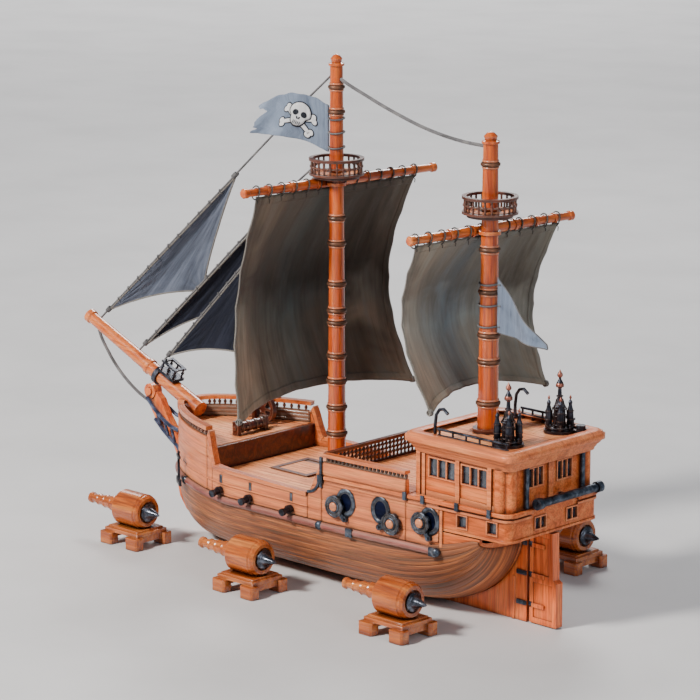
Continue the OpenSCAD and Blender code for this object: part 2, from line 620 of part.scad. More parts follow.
// ---------------------------------------------------------------- rudder
pintle_r = 0.9;
rudder_x0 = 192.6;
module rudder() color(keel_wood) {
    difference() {
        side_plate([[rudder_x0, 1], [217, 1], [217, 33], [214, 35], [213, 69], [rudder_x0, 69]],
            blade_t);
        for (z = gudgeon_z) translate([rudder_x0 - 1, -5, z - 2.2]) cube([3.4, 10, 4.4]);
        // sunk panels
        mirrored() {
            block(195.8, 210, -5, -blade_t / 2 + 0.8, 37, 65);
            block(195.8, 213.5, -5, -blade_t / 2 + 0.8, 5, 31);
        }
    }
    for (z = gudgeon_z) {
        translate([hinge_x, 0, z - 2.2]) cylinder(h = 4.4, r = pintle_r, $fn = 32);
        for (s = [-3.6, 2.2]) translate([hinge_x, -1.2, z + s]) cube([2.5, 2.4, 1.4]);
        for (s = [-3.6, 2.2]) translate([hinge_x, 0, z + s]) cylinder(h = 1.4, r = 1.2, $fn = 32);
        mirrored() block(rudder_x0 + 2.4, 206, -blade_t / 2 - 0.7, -blade_t / 2 + 1, z - 1.4, z + 1.4);
    }
}

// ---------------------------------------------------------------- deck fittings
windlass_x = -92;
windlass_z = fore_z + 6;
windlass_hw = 12.5;
journal_r = 1.6;
module deck_fittings() color(red_wood) {
    // raised hatch on the waist deck
    linear_extrude_at(waist_z, waist_z + 1.6) difference() {
        polygon([[-52, -18], [-14, -18], [-14, 22], [-52, 22]]);
        polygon([[-48, -14], [-18, -14], [-18, 18], [-48, 18]]);
    }
    block(-48, -18, -14, 18, waist_z, waist_z + 0.8);
    // bitts that carry the windlass
    for (s = [-1, 1]) difference() {
        translate([windlass_x - 3, s * (windlass_hw + 2) - 1.8, fore_z]) cube([6, 3.6, 11]);
        translate([windlass_x, -30, windlass_z]) rotate([-90, 0, 0])
            cylinder(h = 60, r = journal_r + 0.06, $fn = 32);
    }
    // fife rail and iron ratchet wheel ahead of the windlass
    for (y = [8, 22, 36]) block(-112, -109, y - 1.5, y + 1.5, fore_z, fore_z + 15);
    block(-113, -108, 5, 39, fore_z + 15, fore_z + 18);
    for (y = [11, 15, 19, 25, 29, 33]) translate([-110.5, y, fore_z + 11])
        cylinder(h = 11, r = 0.9, $fn = 16);
    translate([-104, 27, fore_z]) {
        block(-2, 2, -1.5, 1.5, 0, 8);
        translate([0, -2, 12]) rotate([-90, 0, 0]) difference() {
            cylinder(h = 4, r = 11, $fn = 48);
            translate([0, 0, -1]) difference() {
                cylinder(h = 6, r = 8.2, $fn = 48);
                for (a = [0:60:120]) rotate(a) block(-9, 9, -0.9, 0.9, 0, 6);
                cylinder(h = 6, r = 3, $fn = 24);
            }
        }
    }
    // round collar at the foot of the mizzen mast
    translate([mizzen_x, 0, poop_z]) difference() {
        cylinder(h = 3, r = 11, $fn = 48);
        translate([0, 0, -1]) cylinder(h = 5, r = mizzen_r0, $fn = 48);
    }
}
module windlass_barrel() color(red_wood) {
    translate([windlass_x, 0, windlass_z]) rotate([-90, 0, 0]) {
        translate([0, 0, -windlass_hw]) cylinder(h = 2 * windlass_hw, r = 3.8, $fn = 32);
        translate([0, 0, -windlass_hw - 5]) cylinder(h = 2 * windlass_hw + 10, r = journal_r, $fn = 32);
        for (z = [-10.5, -4, 4, 10.5]) translate([0, 0, z - 0.8]) cylinder(h = 1.6, r = 4.5, $fn = 32);
        // handspikes
        for (z = [-7, 7]) translate([0, 0, z]) rotate([0, 90, 0])
            translate([0, 0, -5.2]) cylinder(h = 10.4, r = 0.8, $fn = 16);
    }
}
module poop_ironwork() color(iron) {
    // guard rails on the poop's edges
    for (r = [[-44, 143, 205], [44.5, 143, 190]]) {
        for (x = [r[1]:(r[2] - r[1]) / 5:r[2]]) translate([x, r[0], poop_z])
            cylinder(h = 9, r = 0.8, $fn = 16);
        for (z = [4, 8.4]) translate([r[1] - 1.5, r[0], poop_z + z]) rotate([0, 90, 0])
            cylinder(h = r[2] - r[1] + 3, r = 0.9, $fn = 16);
    }
    // davits
    for (y = [-42.6, 42.6]) {
        tube([[137.5, y, 131], [137.5, y, 141], [138.5, y, 149], [141.5, y, 153],
            [145.5, y, 154], [149.5, y, 151]], 1.2, 8, [0, 1, 0]);
        translate([137.5, y, poop_z]) cylinder(h = 2, r = 3, $fn = 24);
    }
    // stern lanterns, each a spired middle lamp between smaller ones
    for (p = [[187, -22], [187, 33]]) translate([p[0], p[1], poop_z]) {
        cylinder(h = 2.5, r = 11, $fn = 32);
        translate([0, 0, 2]) rotate_extrude($fn = 32) polygon([[0, 0], [4, 0], [4.6, 4], [3.6, 15],
            [4.4, 17], [2.8, 19], [1.6, 24], [1.2, 31], [2.4, 34], [0.8, 37], [1.4, 40], [0, 44]]);
        for (a = [45:90:315]) rotate(a) translate([7.6, 0, 2]) rotate_extrude($fn = 24)
            polygon([[0, 0], [2, 0], [2.5, 8], [2.2, 14], [1.2, 18], [1.5, 20], [0, 23]]);
    }
    // low capstan-like cap on the starboard corner
    translate([201, 40, poop_z]) {
        cylinder(h = 3, r = 4.5, $fn = 32);
        translate([0, 0, 3]) cylinder(h = 3.5, r = 3.3, $fn = 32);
    }
}

// ---------------------------------------------------------------- masts
main_r0 = 7;
main_r1 = 4.6;
mizzen_r0 = 7.6;
mizzen_r1 = 5.2;
main_foot = 60;
mizzen_foot = quarter_z;
main_bands = [104, 124, 144, 163, 188, 197, 217, 247, 266, 344, 362];
mizzen_bands = [152, 182, 201, 232, 262, 322];
band_w = 2.6;
function main_r(z) = main_r0 + (main_r1 - main_r0) * (z - main_foot) / (main_top - main_foot);
function mizzen_r(z) = z < poop_z + 4 ? mizzen_r0
    : mizzen_r0 + (mizzen_r1 - mizzen_r0) * (z - poop_z - 4) / (mizzen_top - poop_z - 4);
// Pointed top with a rolled bead, of radius r at its foot
function finial(r, z) = [[r, z - 9], [r + 1.2, z - 8.4], [r + 1.2, z - 6.8], [r * 0.8, z - 6],
    [r * 0.95, z - 3.4], [r * 0.5, z - 1], [0, z]];
module main_mast() color(spar_wood) rotate_extrude($fn = 48)
    polygon(concat([[0, main_foot], [main_r0 - 0.02, main_foot], [main_r0 - 0.02, waist_z],
        [main_r0 + 1.6, waist_z + 0.02], [main_r0 + 1.6, waist_z + 3], [main_r0, waist_z + 4],
        [main_r(90), 90], [main_r(main_top - 9), main_top - 9]],
        finial(main_r1, main_top)));
module mizzen_mast() color(spar_wood) translate([mizzen_x, 0, 0]) rotate_extrude($fn = 48)
    polygon(concat([[0, mizzen_foot], [mizzen_r0 - 0.02, mizzen_foot],
        [mizzen_r0 - 0.02, poop_z + 4],
        [mizzen_r(mizzen_top - 9), mizzen_top - 9]], finial(mizzen_r1, mizzen_top)));
module band(r, z) {
    translate([0, 0, z - band_w / 2]) difference() {
        cylinder(h = band_w, r = r + 1.1, $fn = 48);
        translate([0, 0, -1]) cylinder(h = band_w + 2, r = r, $fn = 48);
    }
}
module mast_bands() color(iron) {
    for (z = main_bands) band(main_r(z - band_w / 2), z);
    for (z = mizzen_bands) translate([mizzen_x, 0, 0]) band(mizzen_r(z - band_w / 2), z);
}
// Round basket with a floor, a ring of turned balusters and a top ring
nest_h = 15;
module nest(r, z, mast_r) {
    translate([0, 0, z]) {
        difference() {
            union() {
                cylinder(h = 2.4, r = r - 3.5, $fn = 48);
                translate([0, 0, 2.4]) cylinder(h = 1.6, r = r, $fn = 48);
            }
            translate([0, 0, -1]) cylinder(h = 6, r = mast_r, $fn = 48);
        }
        for (a = [0:15:345]) rotate(a) translate([r - 2, 0, 3.6])
            baluster(nest_h - 5.2);
        translate([0, 0, nest_h - 2]) difference() {
            cylinder(h = 2, r = r, $fn = 48);
            translate([0, 0, -1]) cylinder(h = 4, r = r - 3.2, $fn = 48);
        }
        translate([0, 0, 8]) difference() {
            cylinder(h = 1, r = r - 1.2, $fn = 48);
            translate([0, 0, -1]) cylinder(h = 3, r = r - 2.8, $fn = 48);
        }
    }
}
main_nest_z = 295.5;
mizzen_nest_z = 285;
module crow_nests() color(red_wood) {
    nest(nest_r, main_nest_z, main_r(main_nest_z));
    translate([mizzen_x, 0, 0]) nest(nest_r - 0.5, mizzen_nest_z, mizzen_r(mizzen_nest_z));
}

// ---------------------------------------------------------------- bowsprit and bow
sprit_tip = [-279, 0, 154];
sprit_foot = [-148, 0, 96.5];
sprit_dir = unit(sprit_tip - sprit_foot);
sprit_len = norm(sprit_tip - sprit_foot);
module along_sprit(s = 0) {
    translate(sprit_foot + s * sprit_dir) rotate([0, -90 + asin(sprit_dir[2]), 0]) children();
}
module bowsprit() color(spar_wood) along_sprit() rotate_extrude($fn = 40)
    polygon([[0, 0], [6.4, 0], [5.6, 60], [6.4, 61], [6.4, 64], [5.4, 65], [4.6, sprit_len - 8],
        [5.6, sprit_len - 7], [5.6, sprit_len - 3], [4, sprit_len - 2], [0, sprit_len]]);
module bow_ironwork() color(iron) {
    // collar of the bowsprit
    along_sprit(48) difference() {
        cylinder(h = 4, r = 7.6, $fn = 40);
        translate([0, 0, -1]) cylinder(h = 6, r = 5.85, $fn = 40);
    }
    // small ornate top on the bowsprit, with turned pins
    translate([-181, 0, 119]) rotate([0, 24, 0]) {
        block(-9, 9, -6, 6, -1, 1.5);
        for (x = [-7, 0, 7], y = [-4.5, 4.5]) translate([x, y, 1.5]) baluster(7);
        block(-8.5, 8.5, -6, -3.4, 8.3, 9.8);
        block(-8.5, 8.5, 3.4, 6, 8.3, 9.8);
        block(-8, -6, -6, 6, 8.3, 9.8);
        block(6, 8, -6, 6, 8.3, 9.8);
    }
    // anchors on the bows
    mirrored() translate([-123.8, -44.6, 62]) rotate([0, 0, -34]) {
        translate([-0.9, -1.8, -12]) cube([1.8, 1.8, 26]);
        translate([-6, -1.8, 9]) cube([12, 1.8, 1.8]);
        translate([-7, -1.8, -12]) cube([14, 1.8, 2.2]);
        for (s = [-1, 1]) translate([s * 6.5 - 1, -1.8, -12]) cube([2, 1.8, 5]);
    }
}
module head_rails() color(jib_cloth) mirrored() {
    tube([[-203, -5.8, 98.2], [-194, -6.8, 91], [-184, -7.8, 85], [-172, -10, 81],
        [-158.2, -13.1, 80]], 1.5, 8);
    tube([[-195, -4.7, 82], [-184, -5.6, 74], [-174, -7, 69], [-165, -9.4, 66], [-158, -13.1, 64]],
        1.4, 8);
    for (p = [[-190, -7.2, 88, 79], [-180, -8.4, 82.8, 72.5], [-170, -10.4, 80, 68.2]])
        bar([p[0], p[1], p[2]], [p[0] + 2, p[1] + 1.8, p[3]], 1.1);
}

// ---------------------------------------------------------------- standing rigging
outer_stay_route = [[-262, 0, 153], [-230, 0, 180.5], [-190, 0, 214.5], [-150, 0, 248.5],
    [-110, 0, 282.5], [-70, 0, 316.5], [-35, 0, 346], [-5, 0, 370]];
inner_stay_route = [[-217, 0, 133.5], [-190, 0, 157.5], [-150, 0, 192.5], [-110, 0, 228],
    [-70, 0, 263], [-45, 0, 284], [-19.4, 0, 304]];
fore_stay_route = [[-188, 0, 130], [-160, 0, 157.5], [-130, 0, 187], [-100, 0, 216.5],
    [-70, 0, 246], [-45, 0, 270.5], [-18.6, 0, 298]];
masthead_route = [[4.5, 0, 368], [14, 0, 364], [28, 0, 359], [45, 0, 353], [64, 0, 347],
    [84, 0, 341.5], [104, 0, 337.5], [124, 0, 335], [144, 0, 334]];
bobstay_route = [[-266, 0, 144], [-262, 0, 136], [-256, 0, 128], [-248, 0, 119], [-239, 0, 111],
    [-229, 0, 104], [-218, 0, 98], [-205, 0, 93]];
stay_r = 0.8;
rope_r = 1.3;
module outer_stay() color(rope) tube(outer_stay_route, stay_r, 8, [0, 1, 0]);
module inner_stay() color(rope) tube(inner_stay_route, stay_r, 8, [0, 1, 0]);
module fore_stay() color(rope) tube(fore_stay_route, stay_r, 8, [0, 1, 0]);
module masthead_rope() color(rope) tube(masthead_route, rope_r, 8, [0, 1, 0]);
module bobstay() color(rope) tube(bobstay_route, rope_r, 8, [0, 1, 0]);

// ---------------------------------------------------------------- fore-and-aft sails
// Triangular sail between tack, head and clew, swelling to starboard by belly
module staysail(tack, head, clew, belly, n = 10) {
    grid = [for (i = [0:n]) let (t = 0.03 + 0.97 * i / n)
        [for (k = [0:n]) let (s = k / n, w = s * t,
            p = head + t * ((1 - s) * (tack - head) + s * (clew - head)),
            hollow = 4 * s * (1 - s) * t * t)
            p + [0, belly * sin(180 * s) * sin(160 * t), 4.5 * hollow] + leech_pull(s, t)]];
    translate([0, -cloth_t / 2, 0]) cloth(grid, [0, cloth_t, 0]);
}
function leech_pull(s, t) = s * 16 * t * (1 - t) * [-0.75, 0, 0.2];
module outer_jib() color(jib_cloth)
    staysail([-252, 0, 160.5], [-106, 0, 284], [-158, 13, 187], 5);
module inner_jib() color(jib_cloth)
    staysail([-208, 0, 139.5], [-62, 0, 268], [-126, 11, 177], 3);
module fore_staysail() color(jib_cloth)
    staysail([-181, 0, 134.5], [-64, 0, 249.5], [-92, -5, 150], 2);

// ---------------------------------------------------------------- yards and square sails
module yard(x, z, y0, y1, r, mast_r) {
    translate([x, 0, z]) rotate([0, 0, -brace_angle]) {
        translate([-mast_r - r - 0.6, y0, 0]) rotate([-90, 0, 0]) {
            len = y1 - y0;
            rotate_extrude($fn = 32) polygon([[0, 0], [r * 0.72, 0], [r * 0.88, 0.8], [r * 0.88, 4],
                [r * 0.7, 5], [r, len / 2], [r * 0.7, len - 5], [r * 0.88, len - 4],
                [r * 0.88, len - 0.8], [r * 0.72, len], [0, len]]);
            for (u = [0.12, 0.24, 0.37, 0.63, 0.76, 0.88]) translate([0, 0, u * len - 1])
                cylinder(h = 2, r = r * (1.16 - 0.3 * abs(2 * u - 1)), $fn = 32);
        }
        // open iron parrel around the front of the mast, clear of it
        translate([0, 0, -1.2]) difference() {
            cylinder(h = 2.4, r = mast_r + 1.9, $fn = 40);
            translate([0, 0, -1]) cylinder(h = 5, r = mast_r + 0.08, $fn = 40);
        }
    }
}
// Square sail: hw half-widths at head and foot, drop, forward belly, edge bow with its
// difference from side to side, foot moved by lean and its port corner lowered by slant
module square_sail(x, z, yc, hw0, hw1, drop, belly, edge, skew, twist, lean, slant, mast_gap) {
    m = 14;
    n = 18;
    translate([x, 0, z]) rotate([0, 0, -brace_angle])
        cloth([for (i = [0:m]) let (t = i / m, hw = hw0 + (hw1 - hw0) * t)
            [for (k = [0:n]) let (s = 2 * k / n - 1,
                swell = sin(180 * pow(t, 0.8)) * 0.35 + 0.65 * sin(90 * t))
                [-mast_gap - (belly * (1 - s * s) * swell + (edge - skew * s) * sin(180 * t))
                    - twist * s * t, yc + lean * t + s * hw * (1 - 0.07 * sin(180 * t)),
                    -drop * t + 9 * (1 - s * s) * t * t - slant * t * (1 - s) / 2]]],
            [-cloth_t, 0, 0]);
}
module main_yard() color(spar_wood)
    yard(0, main_yard_z, -80, 106.5, 4.1, main_r(main_yard_z));
module mizzen_yard() color(spar_wood)
    yard(mizzen_x, mizzen_yard_z, -66.5, 92, 4.1, mizzen_r(mizzen_yard_z));
module main_sail() color(square_cloth)
    square_sail(0, main_yard_z - 5.6, 8.3, 76.5, 86.5, 157, 32, 21.5, -1.5, 0, -8.8, 6.4, 8.8);
module mizzen_sail() color(square_cloth)
    square_sail(mizzen_x, mizzen_yard_z - 5.6, 7, 68.5, 63, 118, 26, 21, 6, 6, 3.6, 0, 9);

// ---------------------------------------------------------------- flag and pennant
flag_angle = 15;
flag_x = 6.6;
module flag() color(flag_cloth) rotate([0, 0, flag_angle]) {
    n = 16;
    cloth([for (i = [0:6]) let (t = i / 6) [for (k = [0:n]) let (s = k / n,
        x = flag_x + s * (60 + 9 * t * t),
        top = 348 + 8.5 * sin(180 * s) - 5 * s * s,
        bottom = 314 + 9 * sin(90 * min(1, 1.7 * s)))
        [-x, 2.2 * sin(430 * s) * s + cloth_t / 2, top + t * (bottom - top)]]],
        [0, -cloth_t, 0]);
    for (z = [318, 329, 339]) translate([0, 0, z]) difference() {
        union() {
            cylinder(h = 1.6, r = 6.2, $fn = 32);
            block(-7.6, -5.4, -0.6, 0.6, 0, 1.6);
        }
        translate([0, 0, -1]) cylinder(h = 4, r = main_r(z) + 0.07, $fn = 32);
    }
}
module pennant() color(flag_cloth) translate([mizzen_x, 0, 0]) {
    n = 14;
    cloth([for (i = [0:6]) let (t = i / 6) [for (k = [0:n]) let (s = k / n * 0.97,
        x = 8 + 45 * s, top = 243 - 42 * s - 3 * sin(180 * s), bottom = 204 - 6 * s)
        [x, 2 * sin(380 * s) * s - cloth_t / 2, top + t * (bottom - top)]]],
        [0, cloth_t, 0]);
    for (z = [208, 223, 238]) translate([0, 0, z]) difference() {
        union() {
            cylinder(h = 1.6, r = 8.4, $fn = 32);
            block(7.5, 9, -0.6, 0.6, 0, 1.6);
        }
        translate([0, 0, -1]) cylinder(h = 4, r = mizzen_r(z) + 0.07, $fn = 32);
    }
}

// ---------------------------------------------------------------- loose guns
gun_places = [[-158, -60], [-5, -86], [143, -86], [124, 124]];
bed_z = 14;
gun_z = bed_z + 0.46 * gun_d;
module loose_barrel(k) color(gun_wood) translate([gun_places[k][0], gun_places[k][1], gun_z])
    rotate([0, 90, 0]) {
        difference() {
            r = gun_d / 2;
            rotate_extrude($fn = 48) polygon([[0, -52], [2.5, -52], [4.2, -50.5], [4.2, -48.5],
                [3.2, -47], [3.6, -42], [4.4, -41], [3.9, -39.5], [4.4, -34], [5.2, -33],
                [4.7, -31.5], [5.2, -26], [6, -25], [5.6, -23.5], [6.2, -18], [7.4, -17],
                [7.4, -15], [r - 2, -14.5], [r - 1, -13], [r, -12.4], [r, 10], [r - 0.8, 11],
                [r - 0.8, 12.5], [r - 2.4, 14.5], [r - 5, 14.5], [r - 6.5, 11.5], [4.5, 11.5],
                [4.5, 13], [3.6, 15], [0, 27]]);
            // flat that sits on the bed
            translate([gun_z - bed_z - 0.02, -20, -60]) cube([20, 40, 120]);
        }
    }
module loose_stand(k) color(gun_wood) translate([gun_places[k][0], gun_places[k][1], 0]) {
    translate([-18.5, -15.5, 9.5]) cube([37, 31, 3]);
    translate([-16.5, -13.5, 12.5]) cube([33, 27, bed_z - 12.5]);
    for (x = [-14.5, 14.5]) translate([x - 3, -19, 4.5]) cube([6, 38, 5]);
    for (x = [-14.5, 14.5], y = [-14.5, 14.5]) translate([x, y, 0])
        linear_extrude_at(0, 9.5) polygon([[-6.5, -3.2], [-5.2, -4.5], [5.2, -4.5], [6.5, -3.2],
            [6.5, 3.2], [5.2, 4.5], [-5.2, 4.5], [-6.5, 3.2]]);
}
module gun_1_barrel() loose_barrel(0);
module gun_1_stand() loose_stand(0);
module gun_2_barrel() loose_barrel(1);
module gun_2_stand() loose_stand(1);
module gun_3_barrel() loose_barrel(2);
module gun_3_stand() loose_stand(2);
module gun_4_barrel() loose_barrel(3);
module gun_4_stand() loose_stand(3);

keel();
stem_post();
bow_block();
hull_planking();
waist_deck();
upper_decks();
deck_bulkheads();
cabin_walls();
poop_rim();
cabin_posts();
stern_counter();
window_frames();
window_panes();
wales();
side_mouldings();
cap_rails();
balustrades();
port_frames();
port_lid_p1();
port_lid_p2();
port_lid_p3();
port_lid_s1();
port_lid_s2();
port_lid_s3();
broadside_guns();
side_ironwork();
stern_ironwork();
deck_fittings();
windlass_barrel();
poop_ironwork();
main_mast();
mizzen_mast();
mast_bands();
crow_nests();
bowsprit();
bow_ironwork();
head_rails();
outer_stay();
inner_stay();
fore_stay();
masthead_rope();
bobstay();
outer_jib();
inner_jib();
fore_staysail();
main_yard();
mizzen_yard();
main_sail();
mizzen_sail();
flag();
pennant();
rudder();
gun_1_barrel();
gun_1_stand();
gun_2_barrel();
gun_2_stand();
gun_3_barrel();
gun_3_stand();
gun_4_barrel();
gun_4_stand();
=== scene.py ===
"""Looks of a decorative model sailing ship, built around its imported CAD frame. Metres throughout."""

import json
import math
import random

import bmesh
import bpy
import numpy as np
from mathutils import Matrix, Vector, noise


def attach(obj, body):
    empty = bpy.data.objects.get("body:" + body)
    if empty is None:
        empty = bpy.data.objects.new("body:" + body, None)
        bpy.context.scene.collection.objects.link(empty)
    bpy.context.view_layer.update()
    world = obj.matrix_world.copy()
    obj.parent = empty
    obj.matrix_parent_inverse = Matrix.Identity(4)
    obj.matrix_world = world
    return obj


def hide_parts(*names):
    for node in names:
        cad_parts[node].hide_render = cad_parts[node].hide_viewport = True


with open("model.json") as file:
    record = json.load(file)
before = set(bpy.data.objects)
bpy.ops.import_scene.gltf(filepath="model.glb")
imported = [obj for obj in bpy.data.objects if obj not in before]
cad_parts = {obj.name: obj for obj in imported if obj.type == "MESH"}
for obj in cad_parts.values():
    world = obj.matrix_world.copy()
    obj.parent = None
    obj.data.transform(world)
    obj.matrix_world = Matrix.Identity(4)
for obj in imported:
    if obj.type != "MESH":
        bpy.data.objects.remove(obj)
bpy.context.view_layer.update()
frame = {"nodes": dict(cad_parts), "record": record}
nodes = frame["nodes"]
record = frame["record"]
MM = 0.001
dice = random.Random(17)


# ------------------------------------------------------------------ camera
def make_camera():
    data = bpy.data.cameras.new("camera")
    data.sensor_width = 36
    data.lens = 154.3
    data.clip_start = 0.05
    data.clip_end = 60
    cam = bpy.data.objects.new("camera", data)
    cam.location = (1.5077, -1.5472, 0.6497)
    cam.rotation_euler = (math.radians(77.4), 0, math.radians(44))
    bpy.context.scene.collection.objects.link(cam)
    bpy.context.scene.camera = cam


make_camera()


# ------------------------------------------------------------------ mesh helpers
def mesh_object(name, verts, faces, body, uvs=None, smooth=True):
    """Object from points in millimetres, riding on a body. uvs holds one pair per vertex."""
    mesh = bpy.data.meshes.new(name)
    mesh.from_pydata([tuple(c * MM for c in v) for v in verts], [], [tuple(f) for f in faces])
    if uvs is not None:
        layer = mesh.uv_layers.new(name="UVMap")
        for loop in mesh.loops:
            layer.data[loop.index].uv = uvs[loop.vertex_index]
    mesh.polygons.foreach_set("use_smooth", [smooth] * len(mesh.polygons))
    mesh.update()
    obj = bpy.data.objects.new(name, mesh)
    bpy.context.scene.collection.objects.link(obj)
    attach(obj, body)
    return obj


def grid_faces(rows, cols, close_cols=False, flip=False):
    """Quads of a grid of rows x cols points."""
    faces = []
    last = cols if close_cols else cols - 1
    for i in range(rows - 1):
        for k in range(last):
            a = i * cols + k
            b = i * cols + (k + 1) % cols
            quad = (a, b, b + cols, a + cols)
            faces.append(quad[::-1] if flip else quad)
    return faces


def angles(count):
    """Even angles once round, in radians."""
    return np.linspace(0, 2 * math.pi, count, endpoint=False)


class Parts:
    """Gathers many small shapes into one mesh."""

    def __init__(self):
        self.verts = []
        self.faces = []
        self.uvs = []

    def add(self, verts, faces, uvs=None):
        base = len(self.verts)
        self.verts += [tuple(v) for v in verts]
        self.faces += [tuple(base + i for i in f) for f in faces]
        self.uvs += uvs if uvs is not None else [(v[0] * 0.1, v[1] * 0.1) for v in verts]

    def tube(self, path, radius, sides=8, lobes=0, twist=0.0, closed=False):
        """Tube along a path of points. lobes and twist give laid strands."""
        rings = tube_rings(path, radius, sides, lobes, twist, closed)
        count = len(rings)
        verts = [p for ring in rings for p in ring]
        faces = grid_faces(count, sides, close_cols=True)
        if closed:
            top = (count - 1) * sides
            faces += [(top + k, top + (k + 1) % sides, (k + 1) % sides, k) for k in range(sides)]
        else:
            faces.append(tuple(range(sides))[::-1])
            faces.append(tuple((count - 1) * sides + k for k in range(sides)))
        uvs = [(i * 0.1, k / sides) for i in range(count) for k in range(sides)]
        self.add(verts, faces, uvs)

    def revolve(self, profile, centre=(0, 0, 0), axis="z", sides=40):
        """Solid or ring turned from (radius, height) pairs."""
        verts = []
        for r, h in profile:
            for k in range(sides):
                a = 2 * math.pi * k / sides
                c, s = r * math.cos(a), r * math.sin(a)
                p = {"z": (c, s, h), "x": (h, c, s), "y": (s, h, c)}[axis]
                verts.append(tuple(p[i] + centre[i] for i in range(3)))
        self.add(verts, grid_faces(len(profile), sides, close_cols=True))

    def make(self, name, body, slot, smooth=True):
        return mesh_object(name, self.verts, self.faces, body, self.uvs, smooth)


def tube_rings(path, radius, sides, lobes, twist, closed):
    """Rings of points round a path. radius is one number, or a list with one for each point."""
    path = [Vector(p) for p in path]
    count = len(path)
    rings = []
    normal = None
    run = 0.0
    for i, p in enumerate(path):
        before = path[i - 1] if (i > 0 or closed) else path[0]
        after = path[(i + 1) % count] if (i < count - 1 or closed) else path[-1]
        tangent = (after - before).normalized()
        if normal is None:
            normal = tangent.orthogonal().normalized()
        normal = (normal - tangent * normal.dot(tangent)).normalized()
        side = tangent.cross(normal)
        if i:
            run += (p - path[i - 1]).length
        r = radius[i] if isinstance(radius, (list, tuple)) else radius
        ring = []
        for k in range(sides):
            a = 2 * math.pi * k / sides
            lay = 1.0
            if lobes:
                lay = 0.86 + 0.14 * abs(math.cos(0.5 * lobes * (a - twist * run)))
            ring.append(p + (normal * math.cos(a) + side * math.sin(a)) * r * lay)
        rings.append(ring)
    return rings


def smooth_route(points, step):
    """Catmull-Rom curve through points, resampled at even steps."""
    pts = [Vector(p) for p in points]
    ends = [2 * pts[0] - pts[1]] + pts + [2 * pts[-1] - pts[-2]]
    dense = []
    for i in range(1, len(ends) - 2):
        p0, p1, p2, p3 = ends[i - 1 : i + 3]
        for k in range(24):
            t = k / 24
            dense.append(0.5 * (2 * p1 + (p2 - p0) * t + (2 * p0 - 5 * p1 + 4 * p2 - p3) * t * t
                                + (3 * p1 - p0 - 3 * p2 + p3) * t ** 3))
    dense.append(pts[-1])
    length = sum((b - a).length for a, b in zip(dense, dense[1:]))
    count = max(2, round(length / step))
    out, want, run = [dense[0]], length / count, 0.0
    for a, b in zip(dense, dense[1:]):
        piece = (b - a).length
        while run + piece >= want * len(out) and len(out) < count:
            out.append(a + (b - a) * ((want * len(out) - run) / piece))
        run += piece
    out.append(dense[-1])
    return out


# ------------------------------------------------------------------ cords
# Each rope's radius, lay, length in metres and route from end to end
ROPES = {
    "outer_stay": (0.8, "taut", 0.3368, [
        (-262, 0, 153), (-230, 0, 180.5), (-190, 0, 214.5), (-150, 0, 248.5),
        (-110, 0, 282.5), (-70, 0, 316.5), (-35, 0, 346), (-5, 0, 370)]),
    "inner_stay": (0.8, "taut", 0.2611, [
        (-217, 0, 133.5), (-190, 0, 157.5), (-150, 0, 192.5), (-110, 0, 228),
        (-70, 0, 263), (-45, 0, 284), (-19.4, 0, 304)]),
    "fore_stay": (0.8, "taut", 0.2386, [
        (-188, 0, 130), (-160, 0, 157.5), (-130, 0, 187), (-100, 0, 216.5),
        (-70, 0, 246), (-45, 0, 270.5), (-18.6, 0, 298)]),
    "masthead_rope": (1.3, "hanging", 0.1441, [
        (4.5, 0, 368), (14, 0, 364), (28, 0, 359), (45, 0, 353), (64, 0, 347),
        (84, 0, 341.5), (104, 0, 337.5), (124, 0, 335), (144, 0, 334)]),
    "bobstay": (1.3, "hanging", 0.0815, [
        (-266, 0, 144), (-262, 0, 136), (-256, 0, 128), (-248, 0, 119), (-239, 0, 111),
        (-229, 0, 104), (-218, 0, 98), (-205, 0, 93)]),
}


def lay_rope(name, radius, lay, length, route):
    """Three-stranded rope along its route."""
    path = smooth_route(route, 0.5)
    parts = Parts()
    parts.tube(path, radius, sides=15, lobes=3, twist=1.5)
    obj = parts.make("rope_" + name, "ship", "rope")
    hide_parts(name)
    metres = [tuple(c * MM for c in p) for p in path]
    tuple(metres[0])
    return obj


rope_objects = [lay_rope(name, *facts) for name, facts in ROPES.items()]


# ------------------------------------------------------------------ hull lines, as in the CAD
MIZZEN_X = 149
SIDE_TAPER = 0.0745  # half breadth lost per millimetre abaft x = 50


def bow_share(u):
    """Breadth of the bow as a share of the full breadth, u from 0 amidships to 1 at the stem."""
    return max(0, 1 - max(0, u) ** 1.5) ** (1 / 1.5)


def beam(x, g=0.0):
    """Half breadth of the hull's side at x, g millimetres outside it."""
    if x < -50:
        return (62 + g) * bow_share((x + 50) / (-115 - g))
    if x < 50:
        return 62 + g - 2 * ((x + 50) / 100) ** 2
    return 60 + g - SIDE_TAPER * (x - 50)


def floor_z(x):
    """Height of the hull's lowest line, which sweeps up to the stem and to the stern."""
    if x < -110:
        return 2 + 38 * (1 - math.sqrt(max(0, 1 - ((x + 110) / 56) ** 2)))
    if x > 100:
        return 2 + 68 * (1 - math.sqrt(max(0, 1 - ((x - 100) / 87) ** 2)))
    return 2.0


def full_z(x):
    """Height at which the hull reaches its full breadth."""
    return 54 + (13 * min(1, (x - 100) / 80) ** 2 if x > 100 else 0)


def sheer_z(x):
    """Height of the side's top edge: forecastle, waist, quarterdeck and stern."""
    if x < -80:
        return 97.0
    if x < -72:
        return 97 - 21.5 * (x + 80) / 8
    if x < 30:
        return 75.5 - 2.5 * (x + 72) / 102
    if x < 44:
        return 73 + 2 * (x - 30)
    if x < 121.5:
        return 101.0
    return 89.5 if x < 151 else 69.0


def fullness(u):
    """Breadth as a share of the full breadth, u from 0 at the bottom to 1 at full_z."""
    return max(0, 1 - (1 - u) ** 2.2) ** 0.52


